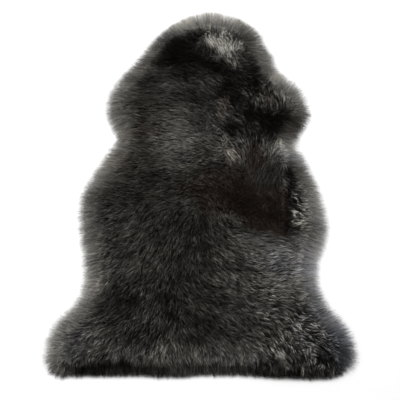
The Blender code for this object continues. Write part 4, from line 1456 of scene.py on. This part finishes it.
class SHEEPSKIN_OT_stage(bpy.types.Operator):
    """Adds the pale floor, the soft lights and the camera at the photograph's angle"""

    bl_idname = "sheepskin.stage"
    bl_label = "Stage"

    def execute(self, context):
        stage = context.scene.sheepskin_stage
        deselect_all()
        bpy.ops.mesh.primitive_plane_add(size=FLOOR_SIZE, location=(0, 0, 0))
        floor = context.object
        floor.name = "floor"
        material, _, shader = new_material("pale_floor")
        shader.inputs["Base Color"].default_value = (*stage.floor_colour, 1.0)
        shader.inputs["Roughness"].default_value = FLOOR_ROUGHNESS
        shader.inputs["Specular IOR Level"].default_value = FLOOR_SPECULAR
        floor.data.materials.append(material)

        world = bpy.data.worlds.new("soft_sky")
        world.use_nodes = True
        world.node_tree.nodes["Background"].inputs["Color"].default_value = WHITE
        world.node_tree.nodes["Background"].inputs["Strength"].default_value = stage.sky
        context.scene.world = world

        bpy.ops.object.light_add(type="AREA", location=KEY_PLACE)
        key = context.object
        key.name = "key_light"
        key.data.size = KEY_SIZE
        key.data.energy = stage.key
        key.rotation_euler = (-KEY_PLACE).to_track_quat("-Z", "Y").to_euler()

        sine, cosine = np.sin(VIEW_ELEVATION), np.cos(VIEW_ELEVATION)
        back = Vector((0.0, -cosine, sine))
        bpy.ops.object.camera_add(location=VIEW_MIDDLE + back * VIEW_DISTANCE)
        camera = context.object
        camera.rotation_euler = (-back).to_track_quat("-Z", "Y").to_euler()
        camera.data.lens = camera.data.sensor_width * VIEW_DISTANCE / VIEW_WIDTH
        context.scene.camera = camera
        context.scene.view_settings.view_transform = "Standard"
        return {"FINISHED"}


class SHEEPSKIN_OT_hide(bpy.types.Operator):
    """Adds the tanned hide as a flat sheet with its suede side down"""

    bl_idname = "sheepskin.hide"
    bl_label = "Hide"

    def execute(self, context):
        loop = wool_bed().loop
        mesh = bpy.data.meshes.new("hide")
        mesh.from_pydata([(x, y, 0.0) for x, y in loop], [], [list(range(len(loop)))])
        material = flecked_material(
            "suede_hide",
            dark=(0.075, 0.060, 0.048),
            light=(0.20, 0.165, 0.13),
            cloud_scale=9.0,
            fleck_scale=900.0,
            depth=0.0004,
            roughness=0.95,
        )
        hide = add_piece("hide", mesh, material)
        make_active(hide)
        bpy.ops.object.mode_set(mode="EDIT")
        bpy.ops.mesh.select_all(action="SELECT")
        bpy.ops.mesh.extrude_region_move(TRANSFORM_OT_translate={"value": (0, 0, HIDE_THICKNESS)})
        bpy.ops.mesh.select_all(action="SELECT")
        bpy.ops.mesh.normals_make_consistent(inside=False)
        bpy.ops.object.mode_set(mode="OBJECT")
        return {"FINISHED"}


class SHEEPSKIN_OT_under_wool(bpy.types.Operator):
    """Adds the dense short wool near the hide, as one closed mat from which the locks stand"""

    bl_idname = "sheepskin.under_wool"
    bl_label = "Under-wool"

    def execute(self, context):
        bm = merged_solid()
        mesh = bpy.data.meshes.new("under_wool")
        bm.to_mesh(mesh)
        bm.free()
        # Its near-black colour is the dark wool's own, deepened into painted shade for the depths of
        # the fleece
        material = flecked_material(
            "under_wool",
            dark=(0.003, 0.0028, 0.0025),
            light=(0.016, 0.014, 0.012),
            cloud_scale=25.0,
            fleck_scale=500.0,
            depth=0.002,
            roughness=0.95,
        )
        mat = add_piece("under_wool", mesh, material)
        make_active(mat)
        remesh = mat.modifiers.new("even_faces", "REMESH")
        remesh.mode = "VOXEL"
        remesh.voxel_size = MAT_PITCH
        bpy.ops.object.modifier_apply(modifier=remesh.name)
        points = np.array([v.co for v in mat.data.vertices])
        places, heights = points[:, :2], points[:, 2]
        outer = wool_bed().inset(places) < MAT_INSET
        select_only(mat, outer | (heights < MAT_CUT * wool_bed().height(places)))
        bpy.ops.object.mode_set(mode="EDIT")
        bpy.ops.mesh.select_mode(type="VERT")
        bpy.ops.mesh.delete(type="VERT")
        bpy.ops.mesh.select_non_manifold()
        bpy.ops.mesh.extrude_region_move(TRANSFORM_OT_translate={"value": MAT_DROP})
        bpy.ops.transform.resize(value=(1, 1, 0), center_override=(0, 0, 0))
        bpy.ops.mesh.fill()
        bpy.ops.mesh.select_all(action="SELECT")
        bpy.ops.mesh.normals_make_consistent(inside=False)
        bpy.ops.object.mode_set(mode="OBJECT")
        mat.data.transform(Matrix.Scale(MAT_SHARE, 4, Vector((0, 0, 1))))
        lowest = min(v.co.z for v in mat.data.vertices)
        mat.data.transform(Matrix.Translation((0, 0, MAT_FLOOR - lowest)))
        mat.data.shade_smooth()
        return {"FINISHED"}


class SHEEPSKIN_OT_fleece(bpy.types.Operator):
    """Grows the locks of long wool over the whole rug, in five bands from the neck down"""

    bl_idname = "sheepskin.fleece"
    bl_label = "Fleece"

    def execute(self, context):
        wool = context.scene.sheepskin_wool
        draw = np.random.default_rng(FLEECE_SEED)
        tips = lock_places(wool_bed(), wool.lock_spacing, draw)
        tips = tips[np.argsort(-tips[:, 1])]
        for name, band in zip(FLEECE_BANDS, np.array_split(tips, len(FLEECE_BANDS))):
            strands = lock_strands(wool_bed(), band, wool.strands_per_lock, draw)
            name, width = "fleece_" + name, wool.strand_width
            piece = add_strands(name, "fleece", strands, STRAND_STEPS, width, draw)
            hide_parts(NODE)
        return {"FINISHED"}


class SHEEPSKIN_OT_rim(bpy.types.Operator):
    """Adds the fine hairs that soften the wool's rim"""

    bl_idname = "sheepskin.rim"
    bl_label = "Rim hairs"

    def execute(self, context):
        wool = context.scene.sheepskin_wool
        draw = np.random.default_rng(RIM_SEED)
        strands = rim_strands(wool_bed(), wool.rim_hairs, draw)
        piece = add_strands("rim_hairs", "rim", strands, STRAND_STEPS, wool.rim_hair_width, draw)
        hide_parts(NODE)
        return {"FINISHED"}


class SHEEPSKIN_OT_loose_wool(bpy.types.Operator):
    """Adds the curled locks and stray hairs that lie loose on the fleece"""

    bl_idname = "sheepskin.loose_wool"
    bl_label = "Loose wool"

    def execute(self, context):
        wool = context.scene.sheepskin_wool
        draw = np.random.default_rng(LOOSE_SEED)
        strands = curled_strands(wool_bed(), draw)
        add_strands("curled_locks", "curled", strands, CURL_STEPS, wool.strand_width, draw)
        strands = stray_strands(wool_bed(), draw)
        add_strands("stray_hairs", "stray", strands, CURL_STEPS, wool.strand_width, draw)
        return {"FINISHED"}


class SHEEPSKIN_PT_panel(bpy.types.Panel):
    """Lists the steps that make the rug, in their order"""

    bl_label = "Sheepskin"
    bl_idname = "SHEEPSKIN_PT_panel"
    bl_space_type = "VIEW_3D"
    bl_region_type = "UI"
    bl_category = "Sheepskin"

    def draw(self, context):
        layout = self.layout
        for operator in STEPS:
            layout.operator(operator.bl_idname)
        for settings in (context.scene.sheepskin_wool, context.scene.sheepskin_stage):
            box = layout.box()
            for name in settings.bl_rna.properties.keys():
                if name not in {"rna_type", "name"}:
                    box.prop(settings, name)


STEPS = (
    SHEEPSKIN_OT_stage,
    SHEEPSKIN_OT_hide,
    SHEEPSKIN_OT_under_wool,
    SHEEPSKIN_OT_fleece,
    SHEEPSKIN_OT_rim,
    SHEEPSKIN_OT_loose_wool,
)
CLASSES = (WoolSettings, StageSettings, *STEPS, SHEEPSKIN_PT_panel)


def register():
    """Adds the operators, the panel and the settings."""
    for made in CLASSES:
        bpy.utils.register_class(made)
    bpy.types.Scene.sheepskin_wool = PointerProperty(type=WoolSettings)
    bpy.types.Scene.sheepskin_stage = PointerProperty(type=StageSettings)


def unregister():
    """Takes the settings, the panel and the operators away again."""
    del bpy.types.Scene.sheepskin_wool
    del bpy.types.Scene.sheepskin_stage
    for made in reversed(CLASSES):
        bpy.utils.unregister_class(made)


def main():
    """Makes the rug and its stage, step by step."""
    register()
    bpy.ops.sheepskin.stage()
    bpy.ops.sheepskin.hide()
    bpy.ops.sheepskin.under_wool()
    bpy.ops.sheepskin.fleece()
    bpy.ops.sheepskin.rim()
    bpy.ops.sheepskin.loose_wool()


if __name__ == "__main__":
    main()
